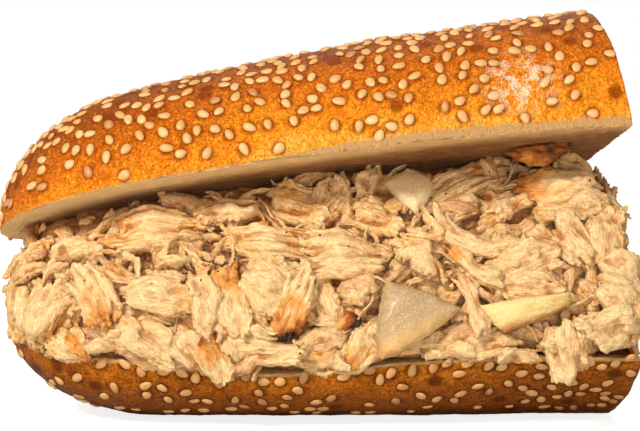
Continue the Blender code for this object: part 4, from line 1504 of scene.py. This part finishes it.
bpy.ops.object.select_all(action="DESELECT")
bpy.ops.mesh.primitive_uv_sphere_add(segments=10, ring_count=6, radius=0.5, rotation=(0, QUARTER, 0))
seed_master = bpy.context.object
seed_master.name = "seed_master"
bpy.ops.object.transform_apply(location=False, rotation=True, scale=True)
bpy.ops.transform.resize(value=(SEED_LENGTH, SEED_WIDTH, SEED_THICKNESS))
bpy.ops.object.transform_apply(location=True, rotation=True, scale=True)
pinch = seed_master.modifiers.new("pinch", "SIMPLE_DEFORM")
pinch.deform_method = "TAPER"
pinch.deform_axis = "X"
pinch.factor = SEED_PINCH
bpy.ops.object.modifier_apply(modifier="pinch")
seed_master.data.shade_smooth()


def seed_places(half, count, apart, wanted, seed):
    """Draws places on the crust: more where more are wanted, and none too close to another."""
    draw = random.Random(seed)
    mesh = half.data
    crust = half.vertex_groups["crust"].index
    spots = [v for v in mesh.vertices if any(g.group == crust for g in v.groups) and wanted(v.co, 1) > 0]
    shuffled = draw.sample(spots, len(spots))
    cells = {}
    placed = []
    for vert in shuffled:
        if len(placed) == count:
            break
        if draw.random() > wanted(vert.co, mesh.attributes["height_share"].data[vert.index].value):
            continue
        key = tuple(int(c // apart) for c in vert.co)
        near = [
            other
            for dx in (-1, 0, 1)
            for dy in (-1, 0, 1)
            for dz in (-1, 0, 1)
            for other in cells.get((key[0] + dx, key[1] + dy, key[2] + dz), [])
        ]
        if any((vert.co - other).length < apart for other in near):
            continue
        cells.setdefault(key, []).append(vert.co.copy())
        placed.append((vert.co.copy(), vert.normal.copy()))
    return placed


def sow(name, places, seed, least_tone):
    """Copies the seed to most places, turned at random, and joins the copies. From the rest one fell out."""
    draw = random.Random(seed)
    copies = []
    for middle, outward in places:
        if draw.random() < LOST_SEEDS:
            continue
        copy = own_copy(seed_master)
        flat = outward.to_track_quat("Z", "Y").to_matrix().to_4x4()
        spin = Matrix.Rotation(draw.uniform(0, 2 * math.pi), 4, "Z")
        tilt = Matrix.Rotation(draw.uniform(-SEED_TILT, SEED_TILT), 4, "X")
        tilt @= Matrix.Rotation(draw.uniform(-SEED_TILT, SEED_TILT), 4, "Y")
        long, wide, thick = draw.uniform(*SEED_SIZE), draw.uniform(*SEED_SIZE), draw.uniform(*SEED_THICK)
        size = Matrix.Diagonal((long, wide, thick, 1))
        lift = Matrix.Translation(middle + outward * SEED_LIFT * draw.uniform(*SEED_SUNK))
        copy.data.transform(lift @ flat @ spin @ tilt @ size)
        store(copy.data, "tone", [draw.uniform(least_tone, 1)] * len(copy.data.vertices))
        copies.append(copy)
    joined = join_pieces(copies, name)
    joined.data.materials.append(sesame)
    return joined


def mark_seed_rings_and_shade(half, places):
    """Darkens the crust round each seed, where glaze gathers and where a seed fell out, and paints shade
    where a seed meets the crust.
    """
    tree = BVHTree.FromPolygons([middle for middle, _ in places], [(i, i, i) for i in range(len(places))])
    reach = SEED_LENGTH / 2

    def ring(point):
        distance = tree.find_nearest(point)[3]
        if distance is None:
            return 0.0
        return 1 - smooth_step(reach - SEED_RING_FADE, reach + SEED_RING, distance)

    spread_attribute(half, "seed_ring_and_painted_shade", ring)


sesame, sesame_shader, sesame_tree = finish_material(
    "sesame", 0.42, coat_weight=0.1, coat_roughness=0.3, subsurface_weight=0.2, subsurface_scale=0.0008
)
seed_tone = sesame_tree.attribute("tone")
seed_colour = sesame_tree.mix(seed_tone, *SEED_COLOURS)
toasted = sesame_tree.span(seed_tone, 0.82, 1.0)
seed_colour = sesame_tree.mix(toasted, seed_colour, TOASTED_SEED)
seed_mottle = mottled(sesame_tree, sesame_tree.place(), 900.0, 0.45, 0.70)
seed_colour = sesame_tree.blend(0.35, seed_mottle, seed_colour, SEED_MOTTLE)
sesame_tree.set(sesame_shader.inputs["Base Color"], seed_colour)
sesame_tree.set(sesame_shader.inputs["Normal"], sesame_tree.bump(seed_mottle, 0.00008, 0.5))


def wanted_on_top(point, height_share):
    """Chance of a seed: most on the crown, none at the rim or in the flour."""
    if height_share < LEAST_SEED_HEIGHT:
        return 0
    crown = CROWN_CHANCE + (1 - CROWN_CHANCE) * smooth_step(0.10, 0.85, height_share)
    return crown * (1 - floured_share(point))


def wanted_on_bottom(point, height_share):
    """Chance of a seed: the same all over, but none where the roll stands."""
    return 0 if point.z < LOWEST_SEED else BOTTOM_CHANCE


top_places = seed_places(bun_top, TOP_SEEDS, SEED_APART, wanted_on_top, 3)
bottom_places = seed_places(bun_bottom, BOTTOM_SEEDS, SEED_APART, wanted_on_bottom, 4)
top_seeds = sow("sesame_top", top_places, 5, 0.0)
# The bottom seeds draw only the darker tones: painted shade, as the bottom half lies in shade.
bottom_seeds = sow("sesame_bottom", bottom_places, 6, 0.65)
mark_seed_rings_and_shade(bun_top, top_places)
mark_seed_rings_and_shade(bun_bottom, bottom_places)
bpy.data.objects.remove(seed_master)
for seeds, node in ((top_seeds, "bun_top"), (bottom_seeds, "bun_bottom")):
    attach(seeds, "root")
    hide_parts(node)
